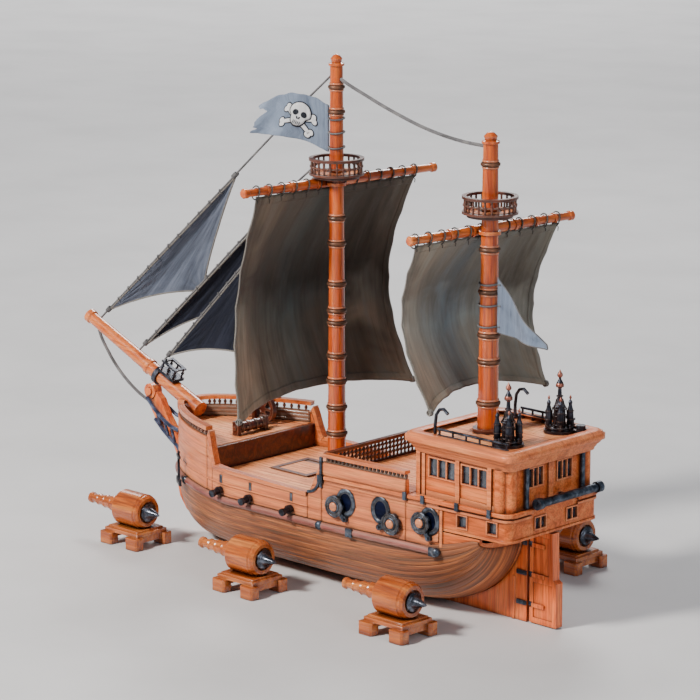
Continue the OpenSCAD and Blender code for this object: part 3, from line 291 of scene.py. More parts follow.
def hull_stations(x0, x1):
    """Stations along the hull, closer together round the bow."""
    bow = [-50 - 115 * math.sin(math.radians(a)) for a in np.arange(84, 0, -1.5)]
    xs = sorted(set(bow + list(np.arange(-50, 186.1, 2.0))))
    return [x0] + [x for x in xs if x0 + 0.6 < x < x1 - 0.6] + [x1]


# ------------------------------------------------------------------ shaders
class Shader:
    """A material and short ways to add and link its nodes."""

    def __init__(self, name, **sockets):
        self.mat = bpy.data.materials.new(name)
        self.mat.use_nodes = True
        self.tree = self.mat.node_tree
        self.bsdf = self.tree.nodes["Principled BSDF"]
        for key, value in sockets.items():
            self.bsdf.inputs[key.replace("_", " ")].default_value = value

    def add(self, kind, inputs=None, **props):
        node = self.tree.nodes.new("ShaderNode" + kind)
        for key, value in props.items():
            setattr(node, key, value)
        for key, value in (inputs or {}).items():
            self.put(node.inputs[key], value)
        return node

    def put(self, socket, value):
        if isinstance(value, bpy.types.NodeSocket):
            self.tree.links.new(value, socket)
        else:
            socket.default_value = value

    def coords(self, scale, rotation=(0, 0, 0), output="Object"):
        where = self.add("TexCoord").outputs[output]
        return self.add("Mapping", {"Vector": where, "Scale": scale, "Rotation": rotation}).outputs[0]

    def noise(self, vector, scale, detail=4.0, rough=0.55, distortion=0.0):
        node = self.add("TexNoise", {"Vector": vector, "Scale": scale, "Detail": detail,
                                     "Roughness": rough, "Distortion": distortion})
        return node.outputs["Fac"]

    def ramp(self, fac, stops):
        node = self.add("ValToRGB", {"Fac": fac})
        line = node.color_ramp.elements
        line[0].position, line[0].color = stops[0][0], (*stops[0][1], 1)
        line[1].position, line[1].color = stops[-1][0], (*stops[-1][1], 1)
        for place, colour in stops[1:-1]:
            line.new(place).color = (*colour, 1)
        return node.outputs["Color"]

    def level(self, value, lo, hi, to_lo, to_hi):
        node = self.add("MapRange", {"Value": value, "From Min": lo, "From Max": hi,
                                     "To Min": to_lo, "To Max": to_hi})
        return node.outputs["Result"]

    def mix(self, fac, a, b, blend="MIX"):
        node = self.add("Mix", data_type="RGBA", blend_type=blend)
        self.put(node.inputs[0], fac)
        self.put(node.inputs[6], a if isinstance(a, bpy.types.NodeSocket) else (*a, 1))
        self.put(node.inputs[7], b if isinstance(b, bpy.types.NodeSocket) else (*b, 1))
        return node.outputs[2]

    def maths(self, operation, a, b=0.0):
        node = self.add("Math", operation=operation)
        self.put(node.inputs[0], a)
        self.put(node.inputs[1], b)
        return node.outputs[0]

    def shade_and_rust_in_gaps(self, colour, gap_colour, distance, edge_gain=0.0):
        """Darker gap_colour mixed into grooves and corners found by ambient occlusion: painted shade in wood
        and rope, rust in metal. Paler worn edges where edge_gain is over 0.
        """
        ao = self.add("AmbientOcclusion", {"Distance": distance}, samples=6)
        # Painted shade in wood and rope, rust in metal: gap_colour where ambient occlusion finds grooves and
        # corners.
        colour = self.mix(self.level(ao.outputs["AO"], 0.35, 0.95, 0.85, 0.0), colour, gap_colour)
        if edge_gain:
            edge = self.add("AmbientOcclusion", {"Distance": distance * 0.35}, samples=4, inside=True)
            worn = self.level(edge.outputs["AO"], 0.3, 0.85, edge_gain, 0.0)
            colour = self.mix(worn, colour, (1.0, 0.72, 0.48), "SCREEN")
        return colour

    def bump(self, height, distance, strength=1.0, normal=None):
        inputs = {"Height": height, "Distance": distance, "Strength": strength}
        if normal is not None:
            inputs["Normal"] = normal
        return self.add("Bump", inputs).outputs["Normal"]

    def finish(self, colour, rough, normal=None):
        self.put(self.bsdf.inputs["Base Color"], colour)
        self.put(self.bsdf.inputs["Roughness"], rough)
        if normal is not None:
            self.put(self.bsdf.inputs["Normal"], normal)
        return self.mat


# gap is the colour of the painted shade in grooves, and gap_size is its reach.
def wood(name, dark, base, light, axis="x", coat=0.25, rough=(0.32, 0.5), gap=(0.10, 0.025, 0.008),
         gap_size=0.0035, edge=0.10, use_uv=False, streak=0.5, gloss=0.4):
    """Varnished wood with long grain, pores, painted shade in its gaps and worn edges."""
    sh = Shader(name, Coat_Weight=coat, Coat_Roughness=0.18, Specular_IOR_Level=gloss)
    stretch = {"x": (45, 900, 900), "y": (900, 45, 900), "z": (900, 900, 45)}[axis]
    broad = {"x": (9, 130, 130), "y": (130, 9, 130), "z": (130, 130, 9)}[axis]
    if use_uv:
        grain_at = sh.coords((0.38, 8.0, 1), output="UV")
        broad_at = sh.coords((0.11, 1.7, 1), output="UV")
    else:
        grain_at = sh.coords(stretch)
        broad_at = sh.coords(broad)
    grain = sh.noise(grain_at, 1.0, 5.0, 0.62, 0.5)
    figure = sh.noise(broad_at, 1.0, 3.0, 0.6, 1.2)
    tone = sh.ramp(figure, [(0.30, dark), (0.47, base), (0.72, light)])
    lines = sh.level(grain, 0.36, 0.56, streak, 0.0)
    colour = sh.mix(lines, tone, tuple(0.42 * c for c in dark))
    if use_uv:
        split = sh.add("SeparateXYZ", {"Vector": sh.add("TexCoord").outputs["UV"]})
        plank = sh.maths("FLOOR", split.outputs["Y"])
        pick = sh.add("TexWhiteNoise", {"W": plank}, noise_dimensions="1D").outputs["Value"]
        colour = sh.mix(sh.level(pick, 0, 1, 0.0, 0.33), colour, dark)
    # Painted shade in the grooves, and paler worn edges.
    colour = sh.shade_and_rust_in_gaps(colour, gap, gap_size, edge)
    relief = sh.maths("ADD", grain, sh.maths("MULTIPLY", figure, 0.5))
    normal = sh.bump(relief, 0.00035, 0.45)
    pores = sh.noise(sh.coords((500, 2600, 2600) if axis == "x" else (2600, 2600, 500)), 1.0, 2.0)
    normal = sh.bump(pores, 0.00008, 0.35, normal)
    return sh.finish(colour, sh.level(grain, 0.3, 0.7, rough[1], rough[0]), normal)


def metal(name, dark, base, light, rough=(0.3, 0.55), metallic=0.85, rust=(0.09, 0.03, 0.015)):
    """Dark cast metal with cloudy patina, pits and rust in the corners."""
    sh = Shader(name, Metallic=metallic)
    at = sh.coords((1, 1, 1))
    cloud = sh.noise(at, 160, 4.0, 0.6, 0.4)
    pits = sh.noise(at, 1500, 3.0, 0.6)
    colour = sh.ramp(cloud, [(0.32, dark), (0.5, base), (0.7, light)])
    colour = sh.shade_and_rust_in_gaps(colour, rust, 0.002, 0.06)
    normal = sh.bump(pits, 0.00012, 0.6)
    return sh.finish(colour, sh.level(cloud, 0.3, 0.7, rough[0], rough[1]), normal)


WEAVE = 150


def cloth(name, dark, base, light, tint, streaks=0.55, across=None, down_light_and_shade=None, span=(1.0, 1.0),
          sheen=0.12):
    """Coarse dyed cotton: weave, long stains down the cloth and paler worn ridges. across and the down stops
    hold (place, colour) pairs of broad painted light and shade, partly a blue-grey tint, over width and
    height."""
    sh = Shader(name, Sheen_Weight=sheen, Sheen_Roughness=0.5, Specular_IOR_Level=0.15)
    down = sh.noise(sh.coords((7.0, 0.9, 1), output="UV"), 1.0, 4.0, 0.62, 0.7)
    fine = sh.noise(sh.coords((34.0, 2.2, 1), output="UV"), 1.0, 4.0, 0.65, 0.3)
    cloud = sh.noise(sh.coords((1.7, 1.4, 1), output="UV"), 1.0, 3.0, 0.55, 0.8)
    both = sh.maths("ADD", sh.maths("MULTIPLY", down, streaks), sh.maths("MULTIPLY", cloud, 1 - streaks))
    colour = sh.ramp(both, [(0.34, dark), (0.5, base), (0.66, light)])
    colour = sh.mix(sh.level(fine, 0.42, 0.7, 0.0, 0.55), colour, light)
    colour = sh.mix(sh.level(down, 0.5, 0.66, 0.0, 0.5), colour, tint)
    place = sh.add("SeparateXYZ", {"Vector": sh.add("TexCoord").outputs["UV"]})
    drift = sh.maths("MULTIPLY", sh.maths("SUBTRACT", cloud, 0.5), 0.55)
    for stops, axis, size in ((across, "X", span[0]), (down_light_and_shade, "Y", span[1])):
        if stops:
            where = sh.maths("ADD", sh.maths("DIVIDE", place.outputs[axis], size), drift)
            # Painted light and shade: broad lighter and darker bands multiplied into the cloth.
            painted_light_and_shade = sh.ramp(where, [(min(1.0, at), c) for at, c in stops])
            colour = sh.mix(1.0, colour, painted_light_and_shade, "MULTIPLY")
    uv = sh.add("TexCoord").outputs["UV"]
    weave = {"Vector": uv, "Scale": WEAVE, "Distortion": 0.6}
    warp = sh.add("TexWave", weave, bands_direction="X")
    weft = sh.add("TexWave", weave, bands_direction="Y")
    threads = sh.maths("ADD", warp.outputs["Fac"], weft.outputs["Fac"])
    # Painted shade: darker where the threads of the weave dip.
    colour = sh.mix(sh.level(threads, 0.2, 1.6, 0.28, 0.0), colour, tuple(0.4 * c for c in dark))
    normal = sh.bump(threads, 0.00012, 0.55)
    normal = sh.bump(fine, 0.0004, 0.35, normal)
    return sh.finish(colour, sh.level(cloud, 0.3, 0.7, 0.75, 0.92), normal)


SAIL_UV = (1.7, 1.6)  # texture widths across and down a square sail
# Colour of the painted shade in the grooves of the orange woods.
ORANGE_GAP_SHADE = (0.060, 0.009, 0.002)
looks = {
    "upper_wood": wood("upper_hull_wood", (0.46, 0.080, 0.013), (0.76, 0.160, 0.034), (0.92, 0.29, 0.088),
                       gap=ORANGE_GAP_SHADE, gap_size=0.0055, streak=0.45, coat=0.12, gloss=0.25),
    "lower_wood": wood("lower_hull_wood", (0.075, 0.010, 0.001), (0.34, 0.056, 0.006), (0.76, 0.22, 0.046),
                       gap=ORANGE_GAP_SHADE, gap_size=0.005, streak=0.9, use_uv=True, coat=0.06, gloss=0.2),
    "side_wood": wood("upper_plank_wood", (0.42, 0.068, 0.010), (0.76, 0.150, 0.030), (0.92, 0.28, 0.080),
                      gap=ORANGE_GAP_SHADE, gap_size=0.0055, streak=0.45, use_uv=True, coat=0.12, gloss=0.25),
    "keel_wood": wood("keel_wood", (0.55, 0.075, 0.008), (0.92, 0.170, 0.030), (1.0, 0.32, 0.085),
                      axis="z", gap=ORANGE_GAP_SHADE, coat=0.4),
    "deck_wood": wood("deck_wood", (0.66, 0.165, 0.046), (0.98, 0.31, 0.105), (1.0, 0.46, 0.20),
                      gap=(0.10, 0.018, 0.006), gap_size=0.003, edge=0.05, coat=0.05, rough=(0.42, 0.6),
                      gloss=0.2, streak=0.6),
    "red_wood": wood("dark_red_wood", (0.030, 0.004, 0.002), (0.090, 0.011, 0.004), (0.19, 0.030, 0.009),
                     gap=(0.012, 0.002, 0.001), coat=0.5, edge=0.15),
    "wale_wood": wood("wale_wood", (0.14, 0.024, 0.018), (0.27, 0.060, 0.048), (0.40, 0.12, 0.10),
                      gap=(0.03, 0.006, 0.004), coat=0.5, edge=0.12),
    "spar_wood": wood("spar_wood", (0.26, 0.026, 0.002), (0.60, 0.088, 0.007), (0.80, 0.19, 0.024),
                      axis="z", coat=0.8, rough=(0.2, 0.38), gap=(0.04, 0.004, 0.001), edge=0.15),
    "rail_wood": wood("rail_wood", (0.38, 0.062, 0.009), (0.74, 0.160, 0.030), (0.90, 0.29, 0.080),
                      coat=0.6, rough=(0.22, 0.4), gap=ORANGE_GAP_SHADE, gap_size=0.005, edge=0.16),
    "yard_wood": wood("yard_wood", (0.32, 0.040, 0.004), (0.68, 0.120, 0.014), (0.86, 0.25, 0.050),
                      axis="y", coat=0.8, rough=(0.2, 0.38), gap=(0.04, 0.004, 0.001)),
    "gun_wood": wood("gun_wood", (0.22, 0.036, 0.005), (0.50, 0.110, 0.018), (0.72, 0.24, 0.055),
                     coat=0.8, rough=(0.18, 0.34), gap=(0.03, 0.005, 0.001), edge=0.14),
    "band_brown": metal("mast_band_bronze", (0.030, 0.008, 0.004), (0.085, 0.024, 0.010),
                        (0.22, 0.070, 0.030), metallic=0.45, rust=(0.015, 0.004, 0.002)),
    "iron": metal("dark_iron", (0.010, 0.011, 0.015), (0.030, 0.034, 0.048), (0.10, 0.115, 0.15)),
    "blue_steel": metal("blue_steel", (0.010, 0.015, 0.024), (0.038, 0.054, 0.080), (0.15, 0.19, 0.25),
                        (0.25, 0.45), 0.7, rust=(0.02, 0.012, 0.010)),
    "steel": metal("gun_steel", (0.03, 0.035, 0.048), (0.075, 0.085, 0.11), (0.20, 0.23, 0.29), (0.18, 0.35)),
    # Painted shadow: near-black navy for the insides of the ports and the wells of the lids.
    "painted_port_shadow": wood("port_shadow_paint", (0.0008, 0.0016, 0.008), (0.002, 0.004, 0.020),
                      (0.005, 0.009, 0.040), coat=0.0, gloss=0.08, gap=(0.001, 0.001, 0.003), edge=0.0),
    "pink_metal": metal("copper_tip", (0.16, 0.045, 0.030), (0.36, 0.12, 0.085), (0.60, 0.28, 0.21)),
    "blue_paint": metal("blue_carving", (0.012, 0.018, 0.045), (0.032, 0.048, 0.105), (0.12, 0.15, 0.24),
                        metallic=0.35, rust=(0.13, 0.04, 0.015)),
    # Painted light and shade on the square sails: bright and warm near the left edge, dark towards the right,
    # dark across the middle, blue-grey then light towards the foot.
    "square_cloth": cloth("square_sail_cloth", (0.30, 0.28, 0.25), (0.52, 0.485, 0.435),
                          (0.82, 0.75, 0.66), (0.46, 0.54, 0.57), span=SAIL_UV,
                          across=[(0.01, (0.62, 0.56, 0.48)), (0.10, (0.95, 0.84, 0.70)),
                                  (0.20, (0.46, 0.41, 0.35)), (0.42, (0.40, 0.46, 0.47)),
                                  (0.60, (0.36, 0.36, 0.35)), (0.80, (0.24, 0.205, 0.17)),
                                  (0.93, (0.50, 0.46, 0.42))],
                          down_light_and_shade=[(0.03, (0.42, 0.40, 0.37)), (0.22, (0.36, 0.35, 0.33)),
                                     (0.42, (0.18, 0.18, 0.18)), (0.60, (0.55, 0.64, 0.67)),
                                     (0.82, (1.0, 0.96, 0.89)), (1.0, (0.82, 0.77, 0.70))]),
    # Painted light and shade on the mizzen sail in the same way, on a lighter copy of the cloth.
    "mizzen_cloth": cloth("mizzen_sail_cloth", (0.40, 0.38, 0.345), (0.66, 0.63, 0.575),
                          (0.90, 0.86, 0.78), (0.58, 0.68, 0.74), span=SAIL_UV,
                          across=[(0.01, (0.70, 0.64, 0.56)), (0.10, (1.0, 0.90, 0.78)),
                                  (0.24, (0.60, 0.58, 0.55)), (0.42, (0.54, 0.62, 0.70)),
                                  (0.60, (0.62, 0.62, 0.60)), (0.80, (0.38, 0.355, 0.32)),
                                  (0.97, (0.56, 0.54, 0.50))],
                          down_light_and_shade=[(0.03, (0.56, 0.55, 0.51)), (0.30, (0.44, 0.435, 0.42)),
                                     (0.56, (0.86, 0.96, 1.0)), (0.80, (1.0, 0.95, 0.88)),
                                     (1.0, (0.80, 0.74, 0.66))]),
    "jib_cloth": cloth("headsail_cloth", (0.035, 0.042, 0.064), (0.085, 0.102, 0.145),
                       (0.185, 0.215, 0.290), (0.15, 0.175, 0.235), streaks=0.35),
    "dark_jib_cloth": cloth("dark_headsail_cloth", (0.003, 0.004, 0.008), (0.009, 0.011, 0.022),
                            (0.030, 0.034, 0.054), (0.018, 0.022, 0.038), streaks=0.35, sheen=0.02),
    "flag_cloth": cloth("flag_cloth", (0.115, 0.150, 0.215), (0.20, 0.255, 0.355),
                        (0.33, 0.40, 0.52), (0.25, 0.31, 0.42), streaks=0.4),
    "emblem": cloth("emblem_cloth", (0.55, 0.56, 0.58), (0.84, 0.85, 0.87), (0.95, 0.95, 0.95),
                    (0.78, 0.80, 0.84), streaks=0.3),
    # Black print on the flag: the emblem's outline, eye holes, nose and teeth.
    "emblem_dark": cloth("emblem_black_print_cloth", (0.006, 0.007, 0.012), (0.016, 0.019, 0.028),
                         (0.04, 0.045, 0.06), (0.02, 0.025, 0.035), streaks=0.3),
}


def rope_look():
    """Grey laid rope with pale fibres, and painted shade between its strands."""
    sh = Shader("laid_rope", Sheen_Weight=0.15, Specular_IOR_Level=0.25)
    at = sh.coords((1, 1, 1))
    fibre = sh.noise(at, 2600, 4.0, 0.6, 0.6)
    cloud = sh.noise(at, 90, 3.0)
    colour = sh.ramp(cloud, [(0.32, (0.045, 0.045, 0.052)), (0.5, (0.10, 0.10, 0.112)),
                             (0.7, (0.19, 0.185, 0.185))])
    colour = sh.mix(sh.level(fibre, 0.4, 0.7, 0.0, 0.5), colour, (0.28, 0.27, 0.25))
    # Painted shade between the strands.
    colour = sh.shade_and_rust_in_gaps(colour, (0.015, 0.014, 0.014), 0.0006)
    return sh.finish(colour, sh.level(fibre, 0.3, 0.7, 0.7, 0.9), sh.bump(fibre, 0.00015, 0.6))


def pane_look():
    """Dark, slightly uneven window glass."""
    sh = Shader("dark_pane", Coat_Weight=0.8, Coat_Roughness=0.05, Specular_IOR_Level=0.6)
    at = sh.coords((1, 1, 1))
    swirl = sh.noise(at, 140, 3.0, 0.5, 0.8)
    colour = sh.ramp(swirl, [(0.3, (0.006, 0.008, 0.014)), (0.5, (0.020, 0.028, 0.042)),
                             (0.75, (0.075, 0.095, 0.125))])
    return sh.finish(colour, sh.level(swirl, 0.3, 0.7, 0.08, 0.22), sh.bump(swirl, 0.0003, 0.3))


def hemp_look(name, dark, base, light):
    """Thinner rope of one stain."""
    sh = Shader(name, Sheen_Weight=0.2, Specular_IOR_Level=0.3)
    fibre = sh.noise(sh.coords((1, 1, 1)), 2400, 4.0, 0.6)
    colour = sh.ramp(fibre, [(0.35, dark), (0.5, base), (0.68, light)])
    # Painted shade between the strands.
    colour = sh.shade_and_rust_in_gaps(colour, tuple(0.4 * c for c in dark), 0.0006)
    return sh.finish(colour, sh.level(fibre, 0.3, 0.7, 0.65, 0.85), sh.bump(fibre, 0.00015, 0.5))


looks["rope"] = rope_look()
looks["glass"] = pane_look()
looks["bolt_rope"] = hemp_look("bolt_rope", (0.075, 0.068, 0.060), (0.17, 0.155, 0.14), (0.33, 0.31, 0.28))
looks["tarred_rope"] = hemp_look("tarred_rope", (0.018, 0.016, 0.014), (0.050, 0.045, 0.040),
                                 (0.14, 0.13, 0.12))


def wear(obj, look):
    """Gives an object one of the looks."""
    obj.data.materials.clear()
    obj.data.materials.append(looks[look])
    return obj


for obj in rope_objects:
    wear(obj, "rope")

# ------------------------------------------------------------------ CAD nodes: shading and looks
LIDS = ["port_lid_" + side + number for side in "ps" for number in "123"]
SLOT_LOOK = {"bow_rail_paint": "blue_paint", "lower_wood": "upper_wood"}
NODE_LOOK = {"cap_rails": "rail_wood", "main_yard": "yard_wood", "mizzen_yard": "yard_wood",
             "bowsprit": "rail_wood", "mast_bands": "band_brown", "port_frames": "blue_steel",
             "stern_ironwork": "blue_steel", "side_ironwork": "blue_steel",
             **{lid: "blue_steel" for lid in LIDS}}
# Width of each node's softened edges, in millimetres
BEVELS = {"keel": 0.5, "stem_post": 0.7, "deck_bulkheads": 0.3, "cabin_posts": 0.4,
          "poop_rim": 0.4, "window_frames": 0.2, "wales": 1.0, "side_mouldings": 0.45,
          "cap_rails": 0.9, "rudder": 0.6, "deck_fittings": 0.4, "side_ironwork": 0.25,
          "port_frames": 0.3, "crow_nests": 0.2, "stern_counter": 0.3, "mast_bands": 0.4,
          "bow_ironwork": 0.3, **{lid: 0.25 for lid in LIDS},
          **{"gun_" + number + "_stand": 0.9 for number in "1234"}}


def smooth_group():
    """Geometry nodes: welds split corners, then shades smooth up to a crease angle."""
    group = bpy.data.node_groups.new("weld_and_smooth", "GeometryNodeTree")
    group.interface.new_socket("Geometry", in_out="INPUT", socket_type="NodeSocketGeometry")
    group.interface.new_socket("Geometry", in_out="OUTPUT", socket_type="NodeSocketGeometry")
    new, link = group.nodes.new, group.links.new
    start, end = new("NodeGroupInput"), new("NodeGroupOutput")
    weld = new("GeometryNodeMergeByDistance")
    weld.inputs["Distance"].default_value = 2e-6
    faces = new("GeometryNodeSetShadeSmooth")
    edges = new("GeometryNodeSetShadeSmooth")
    edges.domain = "EDGE"
    angle = new("GeometryNodeInputMeshEdgeAngle")
    compare = new("FunctionNodeCompare")
    compare.data_type = "FLOAT"
    compare.operation = "LESS_THAN"
    compare.inputs[1].default_value = math.radians(32)
    link(angle.outputs["Unsigned Angle"], compare.inputs[0])
    link(compare.outputs[0], edges.inputs["Shade Smooth"])
    link(start.outputs[0], weld.inputs[0])
    link(weld.outputs[0], faces.inputs[0])
    link(faces.outputs[0], edges.inputs[0])
    link(edges.outputs[0], end.inputs[0])
    return group


weld_and_smooth = smooth_group()
slot_of_node = {s["node"]: s["material_slot"] for s in record["subparts"]}
for name, node in nodes.items():
    slot = slot_of_node[name]
    wear(node, NODE_LOOK.get(name, SLOT_LOOK.get(slot, slot)))
    modifier = node.modifiers.new("weld_and_smooth", "NODES")
    modifier.node_group = weld_and_smooth
    if name in BEVELS:
        modifier = node.modifiers.new("soft_edges", "BEVEL")
        modifier.width = BEVELS[name] * MM
        modifier.segments = 2
        modifier.limit_method = "ANGLE"
        modifier.angle_limit = math.radians(42)
        modifier.use_clamp_overlap = True

# ------------------------------------------------------------------ hull planking
LOWER_STRAKES = 11
UPPER_EDGES = [56.5, 64.5, 73.0, 82.0, 91.0, 100.9]
SEAM = 0.16


def strake_rows(edges):
    """(level, rise, plank) rows across strakes: flat faces with a seam between them."""
    rows = []
    for k, (a, b) in enumerate(zip(edges, edges[1:])):
        w = b - a
        for f, rise in ((0.0, 0.05), (SEAM * 0.45, 0.40), (SEAM, 0.56), (0.5, 0.62),
                        (1 - SEAM, 0.56), (1 - SEAM * 0.45, 0.40)):
            rows.append((a + f * w, rise, k + f * 0.98))
    rows.append((edges[-1], 0.05, len(edges) - 1.02))
    return rows


def hull_side(sign, parts):
    """Lower strakes of one side, from the bottom to the full breadth."""
    xs = hull_stations(-164.3, 185.6)
    levels = [(k / LOWER_STRAKES) ** 1.25 for k in range(LOWER_STRAKES + 1)]
    rows = [r for r in strake_rows(levels) if r[0] > 0.004]
    verts, uvs = [], []
    for x in xs:
        z0, z1 = floor_z(x), max(full_z(x), floor_z(x) + 2)
        for u, rise, plank in rows:
            lap = 0.10 * noise.noise((x * 0.021, plank * 3.1, sign * 7.0))
            y = beam(x) * fullness(u) + rise + lap
            verts.append((x, sign * y, z0 + u * (z1 - z0) - 0.25 * (1 - u)))
            uvs.append((x * 0.1, plank + (20 if sign > 0 else 0)))
    parts.add(verts, grid_faces(len(xs), len(rows), flip=sign > 0), uvs)


def upper_side(sign, parts):
    """Upper strakes, cut off at the sheer of each stretch of the side."""
    for x0, x1 in ((-164.0, -80.2), (-79.8, -72.2), (-71.8, 30), (30.4, 43.8), (44.2, 121.3),
                   (121.7, 150.9)):
        xs = hull_stations(x0, x1)
        verts, uvs = [], []
        rows = strake_rows(UPPER_EDGES)
        for x in xs:
            low, top = full_z(x) + 1.5, sheer_z(x) - 0.1
            for z, rise, plank in rows:
                if x > 143:
                    z = low + (z - 56.5) * (top - low) / (91 - 56.5)
                z = min(z, top)
                verts.append((x, sign * (beam(x) + rise), z))
                uvs.append((x * 0.1, plank + (40 if sign > 0 else 60)))
        parts.add(verts, grid_faces(len(xs), len(rows), flip=sign > 0), uvs)


def clean(obj):
    """Welds doubled points and drops the faces that they leave without area."""
    merge = 0.00001
    bm = bmesh.new()
    bm.from_mesh(obj.data)
    bmesh.ops.remove_doubles(bm, verts=bm.verts, dist=merge)
    bmesh.ops.dissolve_degenerate(bm, edges=bm.edges, dist=merge)
    loose = [v for v in bm.verts if not v.link_faces]
    bmesh.ops.delete(bm, geom=loose, context="VERTS")
    bm.to_mesh(obj.data)
    bm.free()


def solidify(obj, thickness, offset=-1.0):
    """Gives a sheet its thickness, in millimetres."""
    modifier = obj.modifiers.new("thickness", "SOLIDIFY")
    modifier.thickness = thickness * MM
    modifier.offset = offset


lower, upper = Parts(), Parts()
for sign in (-1, 1):
    hull_side(sign, lower)
    upper_side(sign, upper)
lower_planks = wear(lower.make("lower_planks", "ship", "lower_wood"), "lower_wood")
upper_planks = wear(upper.make("upper_planks", "ship", "lower_wood"), "side_wood")
clean(upper_planks)
for obj in (lower_planks, upper_planks):
    solidify(obj, 0.3)


# ------------------------------------------------------------------ deck planks
PLANK_RISE = 0.45
PLANK_SEAM = 0.35


def deck_planks(name, x0, x1, z, half, width, skip=None):
    """Fore-and-aft planks with open seams and staggered butts, cut to the deck's outline."""
    parts = Parts()
    reach = max(half(x) for x in np.arange(x0, x1, 2))
    count = int(2 * reach / width)
    for k in range(-1, count + 1):
        y0 = -reach + k * width
        y1 = y0 + width - PLANK_SEAM
        x = x0
        while x < x1 - 1:
            run = min(x1, x + dice.uniform(34, 62))
            plank_piece(parts, x + 0.15, run - 0.15, y0, y1, z, half, k, skip)
            x = run
    obj = wear(parts.make(name, "ship", "deck_wood", smooth=False), "deck_wood")
    bevel = obj.modifiers.new("soft_edges", "BEVEL")
    bevel.width = 0.12 * MM
    bevel.limit_method = "ANGLE"
    return obj


def plank_piece(parts, x0, x1, y0, y1, z, half, k, skip):
    """One plank, in as many runs as are left of it between the deck's openings."""
    xs = list(np.arange(x0, x1, 3.0)) + [x1]
    cut = []
    for x in xs:
        h = half(x)
        a, b = max(y0, -h), min(y1, h)
        cut.append((x, a, b) if b - a > 0.4 and not (skip and skip(x, (a + b) / 2)) else None)
    start = None
    for i in range(len(cut) + 1):
        if i < len(cut) and cut[i] is not None:
            start = i if start is None else start
            continue
        if start is not None and i - start >= 2:
            run = cut[start:i]
            verts = []
            for x, a, b in run:
                verts += [(x, a, z), (x, b, z), (x, b, z + PLANK_RISE), (x, a, z + PLANK_RISE)]
            faces = grid_faces(len(run), 4, close_cols=True, flip=True)
            faces += [(1, 2, 3, 0), tuple(4 * (len(run) - 1) + j for j in (0, 3, 2, 1))]
            parts.add(verts, faces, [(v[0] * 0.1, v[1] * 0.1 + k * 3) for v in verts])
        start = None


def near(cx, cy, r):
    """Test for points within r of a mast's middle."""
    return lambda x, y: (x - cx) ** 2 + (y - cy) ** 2 < r * r


def in_box(x, y, lo, hi):
    return lo[0] < x < hi[0] and lo[1] < y < hi[1]


POOP_Z = 131
deck_planks("waist_planks", -76, 40.6, 70, lambda x: beam(x, -3.4), 5.2,
            lambda x, y: near(0, 0, 9.5)(x, y) or in_box(x, y, (-53, -19), (-13, 23)))
deck_planks("hatch_planks", -47.6, -18.4, 70.8, lambda x: 13.6, 4.5)
deck_planks("foredeck_planks", -157, -79.4, 88, lambda x: beam(x, -3.8), 4.6,
            lambda x, y: in_box(x, y, (-115, 3), (-101, 41)) or in_box(x, y, (-97, -18), (-87, 18))
            or in_box(x, y, (-170, -7), (-146, 7)))
deck_planks("quarterdeck_planks", 44.6, 120.4, 90, lambda x: beam(x, -3.4), 4.8)
deck_planks("poop_planks", 118.5, 209.5, POOP_Z, lambda x: 45.6, 3.6, near(MIZZEN_X, 0, 11.6))
deck_planks("main_nest_planks", -17, 17, 299.5, lambda x: math.sqrt(max(0, 17 ** 2 - x * x)),
            3.9, near(0, 0, 7.2))
deck_planks("mizzen_nest_planks", MIZZEN_X - 16.5, MIZZEN_X + 16.5, 289,
            lambda x: math.sqrt(max(0, 16.5 ** 2 - (x - MIZZEN_X) ** 2)), 3.9, near(MIZZEN_X, 0, 8.0))

# ------------------------------------------------------------------ moulded cornice round the poop
# Moulding's section as (out from the cabin's walls, height) pairs
CORNICE = [(-2.4, 134.55), (-1.8, 135.0), (3.5, 135.3), (5.4, 135.0), (6.2, 134.2), (6.9, 133.5),
           (7.9, 132.8), (8.3, 131.8), (8.4, 130.6), (8.2, 129.4), (7.6, 128.6), (6.6, 128.1),
           (5.7, 127.5), (5.4, 126.6), (5.2, 126.0), (4.2, 125.4), (3.6, 124.6), (3.4, 123.9),
           (2.9, 123.3), (2.2, 122.4), (2.0, 121.2), (1.6, 120.7), (0.6, 120.6)]


def rim_outline(out, corner_steps=10):
    """Rounded outline of the cabin's top, out millimetres outside its walls."""
    x0, x1, hw, r = 121.4 - out, 209 + out, 45 + out, 5 + max(0, out) * 0.6
    points = []
    for cx, cy, turn in ((x1 - r, hw - r, 0), (x0 + r, hw - r, 90), (x0 + r, -hw + r, 180),
                         (x1 - r, -hw + r, 270)):
        for k in range(corner_steps + 1):
            a = math.radians(turn + 90 * k / corner_steps)
            points.append((cx + r * math.cos(a), cy + r * math.sin(a)))
    return points


cornice = Parts()
loops = [[(x, y, z) for x, y in rim_outline(out)] for out, z in CORNICE]
count = len(loops[0])
cornice.add([p for loop in loops for p in loop], grid_faces(len(loops), count, close_cols=True))
wear(cornice.make("poop_cornice", "ship", "upper_wood"), "upper_wood")


# ------------------------------------------------------------------ square sails
YARD_TILT = math.radians(-5)


def braced(x, z, point):
    """From the frame of a yard, turned a little about its mast, to the ship's."""
    px, py, pz = point
    c, s = math.cos(YARD_TILT), math.sin(YARD_TILT)
    return (x + px * c - py * s, px * s + py * c, z + pz)


